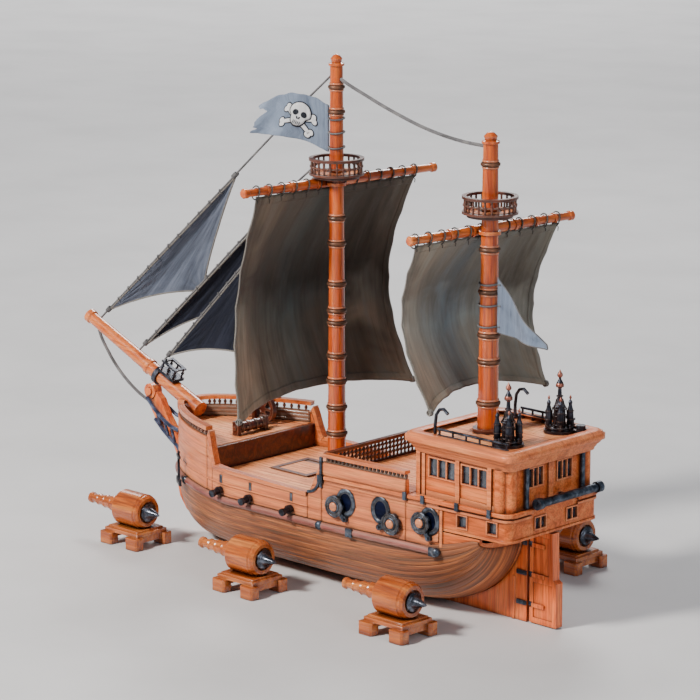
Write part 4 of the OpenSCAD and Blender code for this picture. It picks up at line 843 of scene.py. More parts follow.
# hw holds half widths at the head and the foot, yard the spar's x, z and radius, ties the count of
# gaps between lacings; belly, edge, skew, twist, lean and slant shape the sail as square_point says.
SQUARE = {
    "main_sail": dict(x=0, z=285.4, yc=8.3, hw=(76.5, 86.5), drop=157, belly=32, edge=21.5, skew=-1.5,
                      twist=0, lean=-8.8, slant=6.4, gap=8.8, body="main_spar", look="square_cloth",
                      seed=3.7, yard=(-10.0, 291, 4.1), flat=(0.185, 0.176), ties=13),
    "mizzen_sail": dict(x=MIZZEN_X, z=268.4, yc=7, hw=(68.5, 63), drop=118, belly=26, edge=21, skew=6,
                        twist=6, lean=3.6, slant=0, gap=9.0, body="mizzen_spar", look="mizzen_cloth",
                        seed=8.3, yard=(-10.7, 274, 4.1), flat=(0.137, 0.136), ties=11),
}
HEAD_RISE = 2.2
FOOT_ARCH = 9


def square_point(sail, s, t):
    """Point of a square sail: s across from -1 to 1, t down from 0 to 1."""
    swell = 0.35 * math.sin(math.pi * t ** 0.8) + 0.65 * math.sin(0.5 * math.pi * t)
    half = sail["hw"][0] + (sail["hw"][1] - sail["hw"][0]) * t
    seed = sail["seed"]
    drift = s + 0.10 * math.sin(2.6 * t + seed)
    folds = 3.4 * noise.noise((drift * 3.1, t * 0.55, seed))
    folds += 1.7 * noise.noise((drift * 7.5, t * 0.8, seed + 5))
    folds += 0.55 * noise.noise((drift * 19, t * 1.6, seed + 9))
    folds += 0.16 * noise.noise((s * 34, t * 30, seed + 2))
    for side in (-1, 1):
        dx, dt = (s - side), (t - 1) * 1.4
        reach = math.hypot(dx, dt)
        folds += 0.9 * math.sin(13 * math.atan2(dt, dx) + seed) * math.exp(-reach * 3.2) * min(1, reach * 8)
    folds *= min(1, t / 0.10) * (1 - s ** 10)
    deep = sail["belly"] * (1 - s * s) * swell + (sail["edge"] - sail["skew"] * s) * math.sin(math.pi * t)
    x = -sail["gap"] - deep - sail["twist"] * s * t + folds
    y = sail["yc"] + sail["lean"] * t + s * half * (1 - 0.07 * math.sin(math.pi * t))
    z = -sail["drop"] * t + FOOT_ARCH * (1 - s * s) * t * t - sail["slant"] * t * (1 - s) / 2
    z += HEAD_RISE * max(0, 1 - t / 0.08)
    z -= 0.7 * abs(math.sin(0.5 * math.pi * sail["ties"] * (s + 1))) * max(0, 1 - t / 0.06)
    y -= s * 1.2 * abs(math.sin(6 * math.pi * t)) * max(0, (abs(s) - 0.9) / 0.1)
    return braced(sail["x"], sail["z"], (x, y, z))


def grid_points(where, cols, rows):
    """Points and uvs of where(u, v) over a grid, row by row."""
    verts, uvs = [], []
    for i in range(rows + 1):
        for k in range(cols + 1):
            u, v = k / cols, i / rows
            verts.append(where(u, v))
            uvs.append((u, v))
    return verts, uvs, grid_faces(rows + 1, cols + 1)


def sail_mesh(name, body, look, where, cols, rows, thick, uv_scale):
    """Sheet of cloth through where(u, v)."""
    verts, uvs, faces = grid_points(where, cols, rows)
    uvs = [(u * uv_scale[0], v * uv_scale[1]) for u, v in uvs]
    obj = wear(mesh_object(name, verts, faces, body, uvs), look)
    solidify(obj, thick, 0.0)
    return obj


def rope_tube(name, body, path, radius, look="bolt_rope"):
    """Rope sewn along an edge."""
    parts = Parts()
    parts.tube(smooth_route(path, 0.6), radius, sides=9, lobes=3, twist=1.1)
    return wear(parts.make(name, body, "rope"), look)


def rope_ring(parts, centre, radius, shift, count, thick):
    """Small rope grommet in the plane of y, shifted along it."""
    ring = [centre + Vector((radius * math.cos(a), shift, radius * math.sin(a))) for a in angles(count)]
    parts.tube(ring, thick, sides=7, lobes=3, twist=1.2, closed=True)


SIDE_HEM = 0.055


def square_hems(name, sail):
    """Doubled cloth down both sides and along the head and the foot."""
    hem = Parts()
    for side in (-1, 1):
        verts, uvs, faces = grid_points(
            lambda u, v: square_point(sail, side * (1 - SIDE_HEM * u), v), 5, 90)
        uvs = [((0.5 + side * (0.5 - SIDE_HEM / 2 * u)) * SAIL_UV[0], v * SAIL_UV[1]) for u, v in uvs]
        hem.add(verts, faces, uvs)
    for t0, t1, cols in ((0.0, 0.035, 150), (0.965, 1.0, 90)):
        verts, uvs, faces = grid_points(
            lambda u, v: square_point(sail, 2 * u - 1, t0 + (t1 - t0) * v), cols, 4)
        uvs = [(u * SAIL_UV[0], (t0 + (t1 - t0) * v) * SAIL_UV[1]) for u, v in uvs]
        hem.add(verts, faces, uvs)
    obj = wear(hem.make(name + "_hems", sail["body"], "square_cloth"), sail["look"])
    solidify(obj, 1.5, 0.0)
    return obj


def square_lacing(name, sail):
    """Loops round the yard, each with a knot and its tail on the sail's head."""
    yard_x, yard_z, yard_r = sail["yard"]
    ties = Parts()
    for k in range(sail["ties"] + 1):
        s = -1 + 2 * k / sail["ties"]
        y0 = sail["yc"] + s * sail["hw"][0] * 0.995
        loop = []
        for j in range(28):
            a = 2 * math.pi * j / 28
            px = yard_x + (yard_r + 0.25) * math.cos(a)
            pz = yard_z - sail["z"] + (yard_r + 0.3) * math.sin(a) - (1.0 if math.sin(a) < -0.5 else 0.0)
            loop.append(braced(sail["x"], sail["z"], (px, y0 + 0.9 * math.sin(a), pz)))
        ties.tube(loop, 0.5, sides=8, lobes=3, twist=1.6, closed=True)
        knot = Vector(square_point(sail, s, 0.012)) + Vector((0.3, 0.2, -0.4))
        ties.tube([knot + Vector((0, -0.9, 0.5)), knot, knot + Vector((0.5, 0.8, -0.9)),
                   knot + Vector((0.5, 0.3, -2.4 - 1.3 * math.sin(5 * k) ** 2))], 0.34, sides=7)
    return wear(ties.make(name + "_lacing", sail["body"], "rope"), "tarred_rope")


def square_clews(name, sail):
    """Three turns of rope at each lower corner."""
    corners = Parts()
    for side in (-1, 1):
        corner = Vector(square_point(sail, side * 0.985, 0.99))
        for k in range(3):
            rope_ring(corners, corner, 2.0, 0.9 * (k - 1), 18, 0.55)
    return wear(corners.make(name + "_clews", sail["body"], "rope"), "bolt_rope")


def square_rig(name, sail):
    """Square sail with its bolt rope, hems, lacing and clews."""
    cloth_obj = sail_mesh("cloth_" + name, sail["body"], sail["look"],
                          lambda u, v: square_point(sail, 2 * u - 1, v), 150, 130, 0.7, SAIL_UV)
    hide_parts(name)
    around = [(1, v / 40) for v in range(41)] + [(-1 + 2 * k / 40, 1) for k in range(39, -1, -1)]
    around += [(-1, v / 40) for v in range(39, -1, -1)]
    edge = [square_point(sail, s, t) for s, t in around]
    trims = [rope_tube(name + "_bolt_rope", sail["body"], edge, 0.6), square_hems(name, sail),
             square_lacing(name, sail), square_clews(name, sail)]


for name, sail in SQUARE.items():
    square_rig(name, sail)


# ------------------------------------------------------------------ headsails
HEAD_CUT = 0.012  # share of the height cut off at a headsail's peak
HEADSAILS = {
    "outer_jib": dict(tack=(-252, 0, 160.5), head=(-106, 0, 284), clew=(-158, 13, 187), belly=5, seed=1.3,
                      stay="outer_stay", look="jib_cloth"),
    "inner_jib": dict(tack=(-208, 0, 139.5), head=(-62, 0, 268), clew=(-126, 11, 177), belly=3,
                      seed=4.1, stay="inner_stay", look="dark_jib_cloth"),
    "fore_staysail": dict(tack=(-181, 0, 134.5), head=(-64, 0, 249.5), clew=(-92, -5, 150), belly=2,
                          seed=6.6, stay="fore_stay", look="dark_jib_cloth"),
}


def headsail_point(sail, s, t):
    """s runs from the luff to the leech, t from the head down to the foot."""
    tack, head, clew = Vector(sail["tack"]), Vector(sail["head"]), Vector(sail["clew"])
    p = head + t * ((1 - s) * (tack - head) + s * (clew - head))
    p += Vector((0, sail["belly"] * math.sin(math.pi * s) * math.sin(math.radians(160) * t),
                 18 * s * (1 - s) * t * t))
    p += s * 16 * t * (1 - t) * Vector((-0.75, 0, 0.2))
    seed = sail["seed"]
    folds = 1.5 * noise.noise((s * 3.2, t * 1.2, seed)) + 0.7 * noise.noise((s * 8, t * 2.2, seed + 4))
    folds += 0.8 * math.sin(11 * s + seed) * math.exp(-3.5 * t) + 0.12 * noise.noise((s * 40, t * 40, seed))
    for s0 in (0, 1):
        reach = math.hypot(s - s0, (1 - t) * 1.3)
        turn = math.atan2(1 - t, abs(s - s0) + 0.001)
        folds += 0.7 * math.sin(15 * turn + seed) * math.exp(-3.4 * reach) * min(1, reach * 8)
    p.y += folds * min(1, 14 * s) * min(1, 14 * (1 - t) + 0.35) * min(1, 8 * t)
    return p


def hank_loops(parts, sail, route):
    """Rope hanks that tie the luff to its stay."""
    line = smooth_route(route, 0.5)
    for k in range(1, 12):
        t = k / 12
        luff = headsail_point(sail, 0, 0.03 + 0.97 * t)
        near_stay = min(line, key=lambda q: (q - luff).length)
        if (near_stay - luff).length > 9:
            continue
        centre = (luff + near_stay) / 2
        reach = (near_stay - luff).length / 2 + 1.3
        up = (near_stay - luff).normalized()
        across = Vector((0, 1, 0))
        loop = [centre + up * reach * math.cos(a) + across * 1.35 * math.sin(a) for a in angles(18)]
        parts.tube(loop, 0.38, sides=7, lobes=3, twist=1.4, closed=True)


def whipping(parts, centre, direction, radius, turns, pitch, thick):
    """Turns of thin line round a rope or spar, close together."""
    direction = Vector(direction).normalized()
    side = direction.orthogonal().normalized()
    other = direction.cross(side)
    path = []
    steps = int(turns * 14)
    for k in range(steps + 1):
        a = 2 * math.pi * k / 14
        path.append(Vector(centre) + side * radius * math.cos(a) + other * radius * math.sin(a)
                    + direction * (k / 14 - turns / 2) * pitch)
    parts.tube(path, thick, sides=6)


def headsail_ties(name, sail):
    """Hanks on the stay, whippings at the tack and the head, and turns at the clew."""
    ties = Parts()
    route = ROPES[sail["stay"]][3]
    hank_loops(ties, sail, route)
    line = smooth_route(route, 0.5)
    for corner in (sail["tack"], sail["head"]):
        at = min(range(len(line)), key=lambda i: (line[i] - Vector(corner)).length)
        at = min(max(at, 3), len(line) - 4)
        lead = line[at + 3] - line[at - 3]
        whipping(ties, line[at], lead, 1.5, 5, 1.05, 0.6)
    for k in range(3):
        rope_ring(ties, Vector(sail["clew"]), 1.9, 0.8 * (k - 1), 16, 0.5)
    return wear(ties.make(name + "_ties", "ship", "rope"), "rope")


def headsail_rig(name, sail):
    """Triangular sail on its stay, with its bolt rope and ties."""
    height = 1 - HEAD_CUT
    cloth_obj = sail_mesh("cloth_" + name, "ship", sail["look"],
                          lambda u, v: headsail_point(sail, u, HEAD_CUT + height * v), 70, 120, 0.6,
                          (1.3, 1.6))
    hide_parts(name)
    edge = [headsail_point(sail, 0, HEAD_CUT + height * k / 50) for k in range(51)]
    edge += [headsail_point(sail, k / 30, 1) for k in range(1, 31)]
    edge += [headsail_point(sail, 1, 1 - height * k / 50) for k in range(1, 51)]
    trims = [rope_tube(name + "_bolt_rope", "ship", edge, 0.7), headsail_ties(name, sail)]
    luff = (Vector(sail["tack"]) - Vector(sail["head"])).length * MM


for name, sail in HEADSAILS.items():
    headsail_rig(name, sail)


# ------------------------------------------------------------------ flag and pennant
def about_mast(point, degrees, x0=0.0):
    """Turns a point about the mast's axis, which stands at x0."""
    a = math.radians(degrees)
    return (x0 + point[0] * math.cos(a) - point[1] * math.sin(a),
            point[0] * math.sin(a) + point[1] * math.cos(a), point[2])


FLAG_TURN = 15


def ragged(v):
    """How far the torn fly edge is cut in at a height from 0 to 1."""
    notch = 0.13 * math.exp(-((v - 0.30) / 0.13) ** 2) + 0.05 * math.exp(-((v - 0.86) / 0.06) ** 2)
    return notch + 0.045 * abs(noise.noise((v * 11, 3.3, 0.5))) + 0.03 * abs(noise.noise((v * 31, 1, 7)))


def flag_point(s, v, off=0.0):
    """s from the hoist to the fly, v from the top edge down, off from the middle of the cloth."""
    x = -(6.6 + (60 + 9 * v * v) * s)
    top = 348 + 8.5 * math.sin(math.pi * s) - 5 * s * s
    low = 314 + 9 * math.sin(0.5 * math.pi * min(1, 1.7 * s))
    top += 0.7 * noise.noise((s * 9, 0, 4))
    low += 0.9 * noise.noise((s * 8, 5, 2)) * s
    y = 2.2 * math.sin(math.radians(430) * s) * s
    lean = s - 0.16 * v
    ripple = noise.noise((s * 5, v * 2.0, 9))
    y += 2.1 * math.sin(11.5 * lean + 0.5) * min(1, s * 2.5) + 0.8 * ripple * min(1, s * 3)
    y += 0.25 * noise.noise((s * 17, v * 9, 2)) * min(1, 5 * s)
    z = top + (low - top) * v
    return about_mast((x, y + off, z), FLAG_TURN)


flag_cloth = sail_mesh("cloth_flag", "flag", "flag_cloth",
                       lambda u, v: flag_point(u * (1 - ragged(v)), v), 110, 54, 0.6, (1.0, 0.6))
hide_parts("flag")


# Middle of the emblem as shares of the flag's length and height, the flag's size, and the tilt
FACE = (0.37, 0.40)
FLAG_SIZE = (62.0, 36.0)
TILT = math.radians(-16)


def turned(x, z, angle):
    return x * math.cos(angle) - z * math.sin(angle), x * math.sin(angle) + z * math.cos(angle)


def sewn(parts, dx, dz, half_u, half_v, outline, lift, turn=0.0):
    """Thin patch on both faces of the flag, dx and dz from the emblem's middle before its tilt.
    outline(angle) scales its reach."""
    rings, sides = 5, 30
    for off in (-lift, lift):
        verts = []
        for i in range(rings + 1):
            for k in range(sides):
                a = 2 * math.pi * k / sides
                r = outline(a) * (i / rings)
                px, pz = turned(r * math.cos(a) * half_u, r * math.sin(a) * half_v, turn)
                px, pz = turned(px + dx, pz + dz, TILT)
                verts.append(flag_point(FACE[0] - px / FLAG_SIZE[0], FACE[1] - pz / FLAG_SIZE[1], off))
        parts.add(verts, grid_faces(rings + 1, sides, close_cols=True, flip=off > 0))


def skull_outline(a):
    """Round head, pinched below the cheeks, with a jaw."""
    jaw = max(0, math.cos(a + math.pi / 2)) ** 6
    pinch = 0.17 * math.exp(-((a - math.radians(218)) / 0.28) ** 2)
    pinch += 0.17 * math.exp(-((a - math.radians(322)) / 0.28) ** 2)
    return 1 + 0.42 * jaw - pinch


def disc(_):
    return 1


def bar_outline(a):
    """Square with rounded corners."""
    return 1 / (math.cos(a) ** 8 + math.sin(a) ** 8) ** 0.125


BONE_LEAN = math.radians(30)
BONE_HALF = 12.4
BONE_DROP = 6.4
white, black = Parts(), Parts()
for grow, parts, lift in ((0.9, black, 0.42), (0.0, white, 0.62)):
    for turn in (BONE_LEAN, -BONE_LEAN):
        sewn(parts, 0, -BONE_DROP, BONE_HALF + grow, 1.5 + grow, bar_outline, lift, turn)
        for end in (-1, 1):
            for rise in (-1, 1):
                dx, dz = turned(end * BONE_HALF, rise * 1.6, turn)
                sewn(parts, dx, dz - BONE_DROP, 2.2 + grow, 2.2 + grow, disc, lift)
    sewn(parts, 0, 0, 7.6 + grow, 7.9 + grow, skull_outline, lift + 0.3)
for side in (-1, 1):
    sewn(black, side * 3.0, -0.9, 2.1, 2.4, disc, 1.15, side * 0.3)
    sewn(black, side * 0.75, -4.6, 0.5, 1.2, disc, 1.15, side * -0.4)
for tooth in (-2, -1, 0, 1, 2):
    sewn(black, tooth * 1.1, -8.6, 0.22, 1.5, disc, 1.15)
emblem = wear(white.make("flag_emblem", "flag", "flag_cloth"), "emblem")
emblem_dark = wear(black.make("flag_emblem_dark", "flag", "flag_cloth"), "emblem_dark")
for obj in (emblem, emblem_dark):
    solidify(obj, 0.3, 0.0)
hem = Parts()
hem_points, hem_uvs, hem_faces = grid_points(lambda u, v: flag_point(0.035 * u, v), 4, 40)
hem.add(hem_points, hem_faces, hem_uvs)
flag_hem = wear(hem.make("flag_hem", "flag", "flag_cloth"), "flag_cloth")
solidify(flag_hem, 1.6, 0.0)


def mast_r(z):
    """Radius of the main mast at a height."""
    return 7 - 2.4 * (z - 60) / 326


def mizzen_r(z):
    """Radius of the mizzen mast at a height."""
    return 7.6 - 2.4 * (z - 135) / 210


def mast_ties(name, body, x0, heights, radius_at, turn, reach):
    """Rope grommets round a mast, each with a tail that is sewn to the cloth."""
    parts = Parts()
    for z in heights:
        r = radius_at(z) + 0.85
        ring = [about_mast((r * math.cos(a), r * math.sin(a), z + 0.6 * math.sin(a)), turn, x0)
                for a in angles(40)]
        parts.tube(ring, 0.62, sides=8, lobes=3, twist=1.2, closed=True)
        tail = [about_mast((math.copysign(d, reach), 0.15 * math.sin(d), z - 0.2), turn, x0)
                for d in np.arange(radius_at(z) + 0.8, abs(reach), 0.5)]
        parts.tube(tail, 0.8, sides=8, lobes=3, twist=1.2)
    return wear(parts.make(name, body, "rope"), "rope")


flag_ties = mast_ties("flag_ties", "flag", 0, (318, 329, 339), mast_r, FLAG_TURN, -9.2)


def pennant_point(u, v):
    """u from the hoist to the fly, v from the top edge down."""
    s = 0.985 * u
    x = 8 + 45 * s
    top = 243 - 42 * s - 3 * math.sin(math.pi * s)
    low = 204 - 6 * s
    y = 2 * math.sin(math.radians(380) * s) * s + 1.5 * math.sin(9 * s - 1.2 * v) * min(1, 3 * s)
    y += 0.6 * noise.noise((s * 4, v * 2.4, 1)) * min(1, 4 * s)
    return (MIZZEN_X + x, y, top + (low - top) * v)


pennant_cloth = sail_mesh("cloth_pennant", "pennant", "flag_cloth", pennant_point, 64, 60, 0.6,
                          (0.7, 0.6))
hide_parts("pennant")
pennant_edge = [pennant_point(k / 30, 0) for k in range(31)]
pennant_edge += [pennant_point(1 - k / 30, 1) for k in range(31)]
pennant_rope = rope_tube("pennant_bolt_rope", "pennant", pennant_edge, 0.5, "rope")
pennant_ties = mast_ties("pennant_ties", "pennant", MIZZEN_X, (208, 223, 238), mizzen_r, 0, 11)

# ------------------------------------------------------------------ steel ends of the loose guns
GUNS = {"gun_1": (-158, -60), "gun_2": (-5, -86), "gun_3": (143, -86), "gun_4": (124, 124)}
BORE_Z = 26.42
GUN_TIP = [(6.0, 14.7), (7.3, 14.72), (7.35, 15.4), (6.1, 15.7), (4.9, 16.2), (4.3, 17.0), (3.6, 19.0),
           (2.7, 21.8), (1.6, 24.6), (0.7, 26.6), (0.05, 27.2)]
for gun, (gx, gy) in GUNS.items():
    tip = Parts()
    tip.revolve(GUN_TIP, (gx, gy, BORE_Z), "x", 44)
    wear(tip.make(gun + "_steel_tip", gun, "iron"), "steel")

# ------------------------------------------------------------------ gun ports
PORT_X = (67, 99, 143.2)
PORT_Z = 75
LID_TURN = (-48, 68, -34)
LID_ARM = 12
LID_BACK = 1.9  # gap between the hull's side and a lid's inner face


def on_side(x, z, local, side):
    """From a frame on the flat side at x, local -Y outwards, to the ship's. side is p or s."""
    a = math.atan(SIDE_TAPER)
    lx, ly, lz = local
    px = x + lx * math.cos(a) - ly * math.sin(a)
    py = -beam(x) + lx * math.sin(a) + ly * math.cos(a)
    return (px, py if side == "p" else -py, z + lz)


def port_place(side, k):
    """Maps (along, up, height) from the middle of port k to the ship's frame."""
    return lambda p: on_side(PORT_X[k], PORT_Z, (p[0], -1.0 - p[2], p[1]), side)


def lid_place(side, k):
    """Maps (along, up, height) from the middle of lid k to the ship's frame."""
    turn = math.radians(LID_TURN[k])

    def place(p):
        lx, lz = p[0], p[1] + LID_ARM
        qx = lx * math.cos(turn) + lz * math.sin(turn)
        qz = -lx * math.sin(turn) + lz * math.cos(turn)
        return on_side(PORT_X[k], PORT_Z - LID_ARM, (qx, -LID_BACK - p[2], qz), side)

    return place


def moved(place, dx, dy, dz):
    """The same mapping from a shifted middle."""
    return lambda p: place((p[0] + dx, p[1] + dy, p[2] + dz))


def ring_on_side(parts, place, major, minor):
    """Ring of oval section. major are its half-sizes, minor its half-width and half-depth."""
    verts = []
    sides, steps = 44, 12
    for i in range(sides):
        a = 2 * math.pi * i / sides
        for k in range(steps):
            b = 2 * math.pi * k / steps
            r = minor[0] * math.cos(b)
            verts.append(place(((major[0] + r) * math.cos(a), (major[1] + r) * math.sin(a),
                                minor[1] * math.sin(b))))
    faces = grid_faces(sides, steps, close_cols=True)
    top = (sides - 1) * steps
    faces += [(top + k, top + (k + 1) % steps, (k + 1) % steps, k) for k in range(steps)]
    parts.add(verts, faces)


def dish(parts, place, rings, sides=40):
    """Oval shape from (half-length, half-height, height) rings, from the outermost to the middle."""
    verts = []
    for half_x, half_z, height in rings:
        for k in range(sides):
            a = 2 * math.pi * k / sides
            verts.append(place((half_x * math.cos(a), half_z * math.sin(a), height)))
    parts.add(verts, grid_faces(len(rings), sides, close_cols=True))


PORT_HOLE = ((6.4, 8.0, 0.15), (6.0, 7.6, 0.12), (3.0, 4.0, 0.02), (0.01, 0.01, 0.0))
RIVET = ((0.75, 0.75, 1.75), (0.7, 0.7, 2.25), (0.35, 0.35, 2.5), (0.01, 0.01, 2.55))
LID_BOSS = ((3.45, 3.45, 2.7), (3.3, 3.3, 3.15), (2.4, 2.4, 3.7), (1.3, 1.3, 3.95), (0.01, 0.01, 4.0))
LID_WELL = ((6.9, 6.9, 1.84), (4.3, 4.3, 1.84))


def dress_ports():
    """Rolled rings round the ports, and painted shadow inside them."""
    port_rings, port_holes = Parts(), Parts()
    for side in "ps":
        for k in range(len(PORT_X)):
            place = port_place(side, k)
            ring_on_side(port_rings, place, (7.25, 8.75), (1.7, 1.15))
            ring_on_side(port_rings, moved(place, 0, 0, 0.3), (5.6, 7.1), (0.4, 0.35))
            dish(port_holes, place, PORT_HOLE)
    wear(port_rings.make("port_rings", "ship", "iron"), "blue_steel")
    wear(port_holes.make("port_holes", "ship", "iron"), "painted_port_shadow")


def dress_lid(side, k):
    """Rings and rivets of one lid, its wooden boss and painted shadow in the well between them."""
    lid = f"lid_{side}{k + 1}"
    place = lid_place(side, k)
    rim, boss, well = Parts(), Parts(), Parts()
    ring_on_side(rim, moved(place, 0, 0, 2.15), (7.3, 7.3), (0.75, 0.55))
    ring_on_side(rim, moved(place, 0, 0, 2.3), (4.15, 4.15), (0.7, 0.75))
    for rivet in range(8):
        a = math.pi * (rivet + 0.5) / 4
        dish(rim, moved(place, 5.8 * math.cos(a), 5.8 * math.sin(a), 0), RIVET, 14)
    dish(boss, place, LID_BOSS, 32)
    dish(well, place, LID_WELL)
    wear(rim.make(lid + "_rim", lid, "iron"), "blue_steel")
    wear(boss.make(lid + "_boss", lid, "iron"), "rail_wood")
    wear(well.make(lid + "_well", lid, "iron"), "painted_port_shadow")


dress_ports()
for side in "ps":
    for k in range(len(PORT_X)):
        dress_lid(side, k)

# ------------------------------------------------------------------ rounded faces of the wales
WALE_Z = 54
KNOB_X = (-118, 43, 150)
KNOB = ((0.01, 2.6), (1.9, 2.3), (3.1, 1.2), (3.4, 0.0), (3.0, -1.4), (2.2, -2.2))
wale_rolls, wale_knobs = Parts(), Parts()
for sign in (-1, 1):
    roll = [(x, sign * (beam(x) + 1.55), WALE_Z) for x in hull_stations(-163.5, 151.5)]
    wale_rolls.tube(roll, 2.55, sides=18)
    for x in KNOB_X:
        y = sign * (beam(x) + 2.6)
        verts = [(x + r * math.cos(a), y + sign * h, WALE_Z + r * math.sin(a))
                 for r, h in KNOB for a in angles(24)]
        wale_knobs.add(verts, grid_faces(len(KNOB), 24, close_cols=True))
wear(wale_rolls.make("wale_rolls", "ship", "wale_wood"), "wale_wood")
wear(wale_knobs.make("wale_knobs", "ship", "iron"), "blue_steel")

# ------------------------------------------------------------------ turned beads on the masts
MAIN_BANDS = (104, 124, 144, 163, 188, 197, 217, 247, 266, 344, 362)
MIZZEN_BANDS = (152, 182, 201, 232, 262, 322)
BAND_HALF = 1.3
BEAD_SHIFT = 2.3


def bead(parts, x, z, r, proud, half):
    """Rounded ring round a mast of radius r."""
    parts.revolve([(r - 0.2, -half), (r + proud * 0.7, -half * 0.75), (r + proud, 0),
                   (r + proud * 0.7, half * 0.75), (r - 0.2, half)], (x, 0, z), "z", 44)


def mast_beads(name, x, bands, radius_at):
    """A dark roll on each band, between two turned beads."""
    turned_rings, dark_rings = Parts(), Parts()
    for z in bands:
        for at in (z - BEAD_SHIFT, z + BEAD_SHIFT):
            bead(turned_rings, x, at, radius_at(at), 0.6, 0.85)
        bead(dark_rings, x, z, radius_at(z) + 0.95, 0.55, BAND_HALF * 0.9)
    wear(turned_rings.make(name + "_beads", "ship", "spar_wood"), "spar_wood")
    wear(dark_rings.make(name + "_band_rolls", "ship", "iron"), "band_brown")


mast_beads("main_mast", 0, MAIN_BANDS, mast_r)
mast_beads("mizzen_mast", MIZZEN_X, MIZZEN_BANDS, mizzen_r)

# ------------------------------------------------------------------ dark lining of the forecastle
# Heights up the lining, each with the depth of its groove
LINING_ROWS = ((88.2, 0.0), (90.8, 0.0), (91.0, 0.25), (91.2, 0.0), (93.8, 0.0), (94.0, 0.25),
               (94.2, 0.0), (96.9, 0.0))
lining = Parts()
for sign in (-1, 1):
    stations = hull_stations(-157, -80.4)
    verts = [(x, sign * (beam(x) - 3.62 + dent), z) for x in stations for z, dent in LINING_ROWS]
    lining.add(verts, grid_faces(len(stations), len(LINING_ROWS), flip=sign < 0))
lining_obj = wear(lining.make("forecastle_lining", "ship", "red_wood"), "red_wood")
solidify(lining_obj, 0.25, 0.0)

# ------------------------------------------------------------------ lantern ornament
# Hoops are (height over the poop, radius, thickness); turned shapes are (radius, height) pairs
LANTERNS = ((187, -22), (187, 33))
LANTERN_HOOPS = ((4.5, 9.4, 0.5), (6.2, 5.3, 0.45), (12.5, 5.0, 0.4), (17.6, 4.9, 0.55),
                 (20.5, 3.2, 0.45), (26.5, 2.2, 0.4), (33.5, 2.5, 0.45))
LANTERN_RIB = ((4.9, 4), (5.5, 6), (5.3, 12), (4.9, 17), (3.3, 20.5), (2.2, 24.5))
LANTERN_TOP = ((0.01, 45.9), (0.9, 43.9), (1.9, 42.4), (2.1, 41.2), (1.5, 40.2), (1.0, 39.9))
LANTERN_COLLAR = ((2.0, 36.2), (2.8, 35.0), (3.0, 34.0), (2.5, 33.0), (1.4, 32.2))
FENCE_R = 9.6
FENCE_KNOB = ((0.01, 7.6), (0.7, 7.2), (0.95, 6.6), (0.6, 6.0), (0.35, 5.8))
TURRET_R = 7.6
TURRET_HOOPS = ((9.8, 2.6, 0.3), (15.8, 2.4, 0.35), (5.0, 2.3, 0.3))
TURRET_TIP = ((0.01, 27.4), (0.75, 26.0), (1.0, 24.9), (0.3, 24.0))


def hoop(parts, cx, cy, z, r, thick, points, sides):
    ring = [(cx + r * math.cos(a), cy + r * math.sin(a), POOP_Z + z) for a in angles(points)]
    parts.tube(ring, thick, sides=sides, closed=True)


def lantern(iron, tips, cx, cy):
    """Hooped and ribbed lantern inside a low round fence, with four turrets and a finial."""
    for z, r, thick in LANTERN_HOOPS:
        hoop(iron, cx, cy, z, r, thick, 28, 7)
    for k in range(8):
        a = 2 * math.pi * k / 8
        c, s = math.cos(a), math.sin(a)
        rib = [(cx + r * c, cy + r * s, POOP_Z + z) for r, z in LANTERN_RIB]
        iron.tube(smooth_route(rib, 1.0), 0.34, sides=6)
        px, py = cx + FENCE_R * c, cy + FENCE_R * s
        iron.tube([(px, py, POOP_Z + 2.4), (px, py, POOP_Z + 6.2)], 0.45, sides=7)
        iron.revolve(FENCE_KNOB, (px, py, POOP_Z), "z", 12)
    for k in range(4):
        a = math.radians(45 + 90 * k)
        tx, ty = cx + TURRET_R * math.cos(a), cy + TURRET_R * math.sin(a)
        for z, r, thick in TURRET_HOOPS:
            hoop(iron, tx, ty, z, r, thick, 18, 6)
        tips.revolve(TURRET_TIP, (tx, ty, POOP_Z), "z", 16)
    tips.revolve(LANTERN_TOP, (cx, cy, POOP_Z), "z", 20)
    tips.revolve(LANTERN_COLLAR, (cx, cy, POOP_Z), "z", 20)


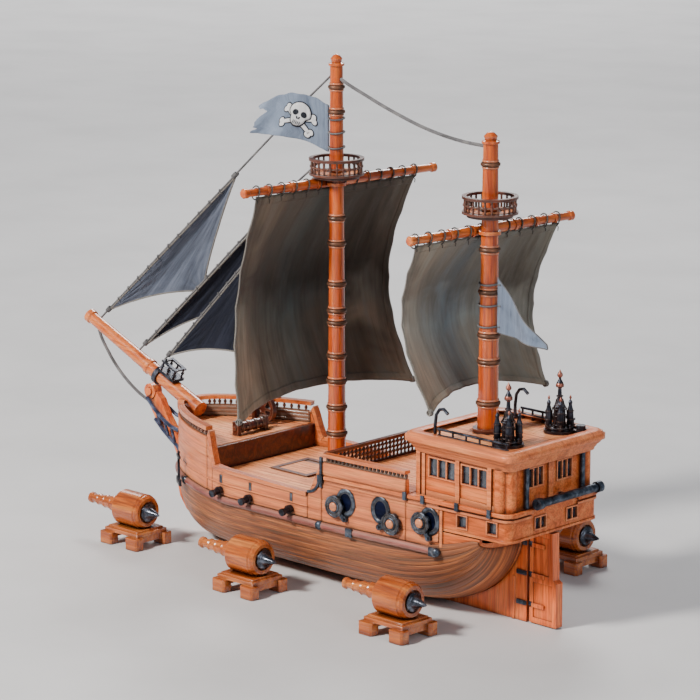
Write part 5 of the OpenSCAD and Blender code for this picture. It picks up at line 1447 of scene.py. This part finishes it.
lantern_iron, lantern_tips = Parts(), Parts()
for cx, cy in LANTERNS:
    lantern(lantern_iron, lantern_tips, cx, cy)
wear(lantern_iron.make("lantern_ornament", "ship", "iron"), "iron")
wear(lantern_tips.make("lantern_tips", "ship", "iron"), "pink_metal")

# ------------------------------------------------------------------ floor, light
def make_floor():
    """Plain pale floor under the ship."""
    size = 6.0
    verts = [(-size, -size, 0), (size, -size, 0), (size, size, 0), (-size, size, 0)]
    mesh = bpy.data.meshes.new("floor")
    mesh.from_pydata(verts, [], [(0, 1, 2, 3)])
    floor = bpy.data.objects.new("floor", mesh)
    bpy.context.scene.collection.objects.link(floor)
    sh = Shader("pale_floor", Specular_IOR_Level=0.25)
    cloud = sh.noise(sh.coords((1, 1, 1)), 7.0, 4.0)
    colour = sh.ramp(cloud, [(0.3, (0.60, 0.60, 0.61)), (0.5, (0.64, 0.64, 0.65)), (0.7, (0.67, 0.67, 0.68))])
    floor.data.materials.append(sh.finish(colour, 0.65))


def area_light(name, place, aim, size, power, colour):
    """Round soft light at a place, turned to what it lights."""
    data = bpy.data.lights.new(name, "AREA")
    data.shape = "DISK"
    data.size = size
    data.energy = power
    data.color = colour
    light = bpy.data.objects.new(name, data)
    light.location = place
    light.rotation_euler = (Vector(aim) - Vector(place)).to_track_quat("-Z", "Y").to_euler()
    bpy.context.scene.collection.objects.link(light)


make_floor()
area_light("key", (-0.35, -1.7, 1.55), (0, 0, 0.12), 0.38, 74, (1.0, 0.95, 0.89))
area_light("fill", (2.0, -0.4, 0.9), (0, 0, 0.12), 1.0, 10, (0.93, 0.96, 1.0))
area_light("back", (-1.0, 1.5, 1.6), (0, 0, 0.2), 0.7, 20, (1.0, 0.98, 0.96))
area_light("floor", (-3.2, 3.2, 3.0), (-3.4, 3.6, 0), 3.0, 190, (1.0, 0.98, 0.96))
world = bpy.data.worlds.new("studio")
world.use_nodes = True
world.node_tree.nodes["Background"].inputs["Color"].default_value = (0.86, 0.90, 1.0, 1)
world.node_tree.nodes["Background"].inputs["Strength"].default_value = 0.20
bpy.context.scene.world = world
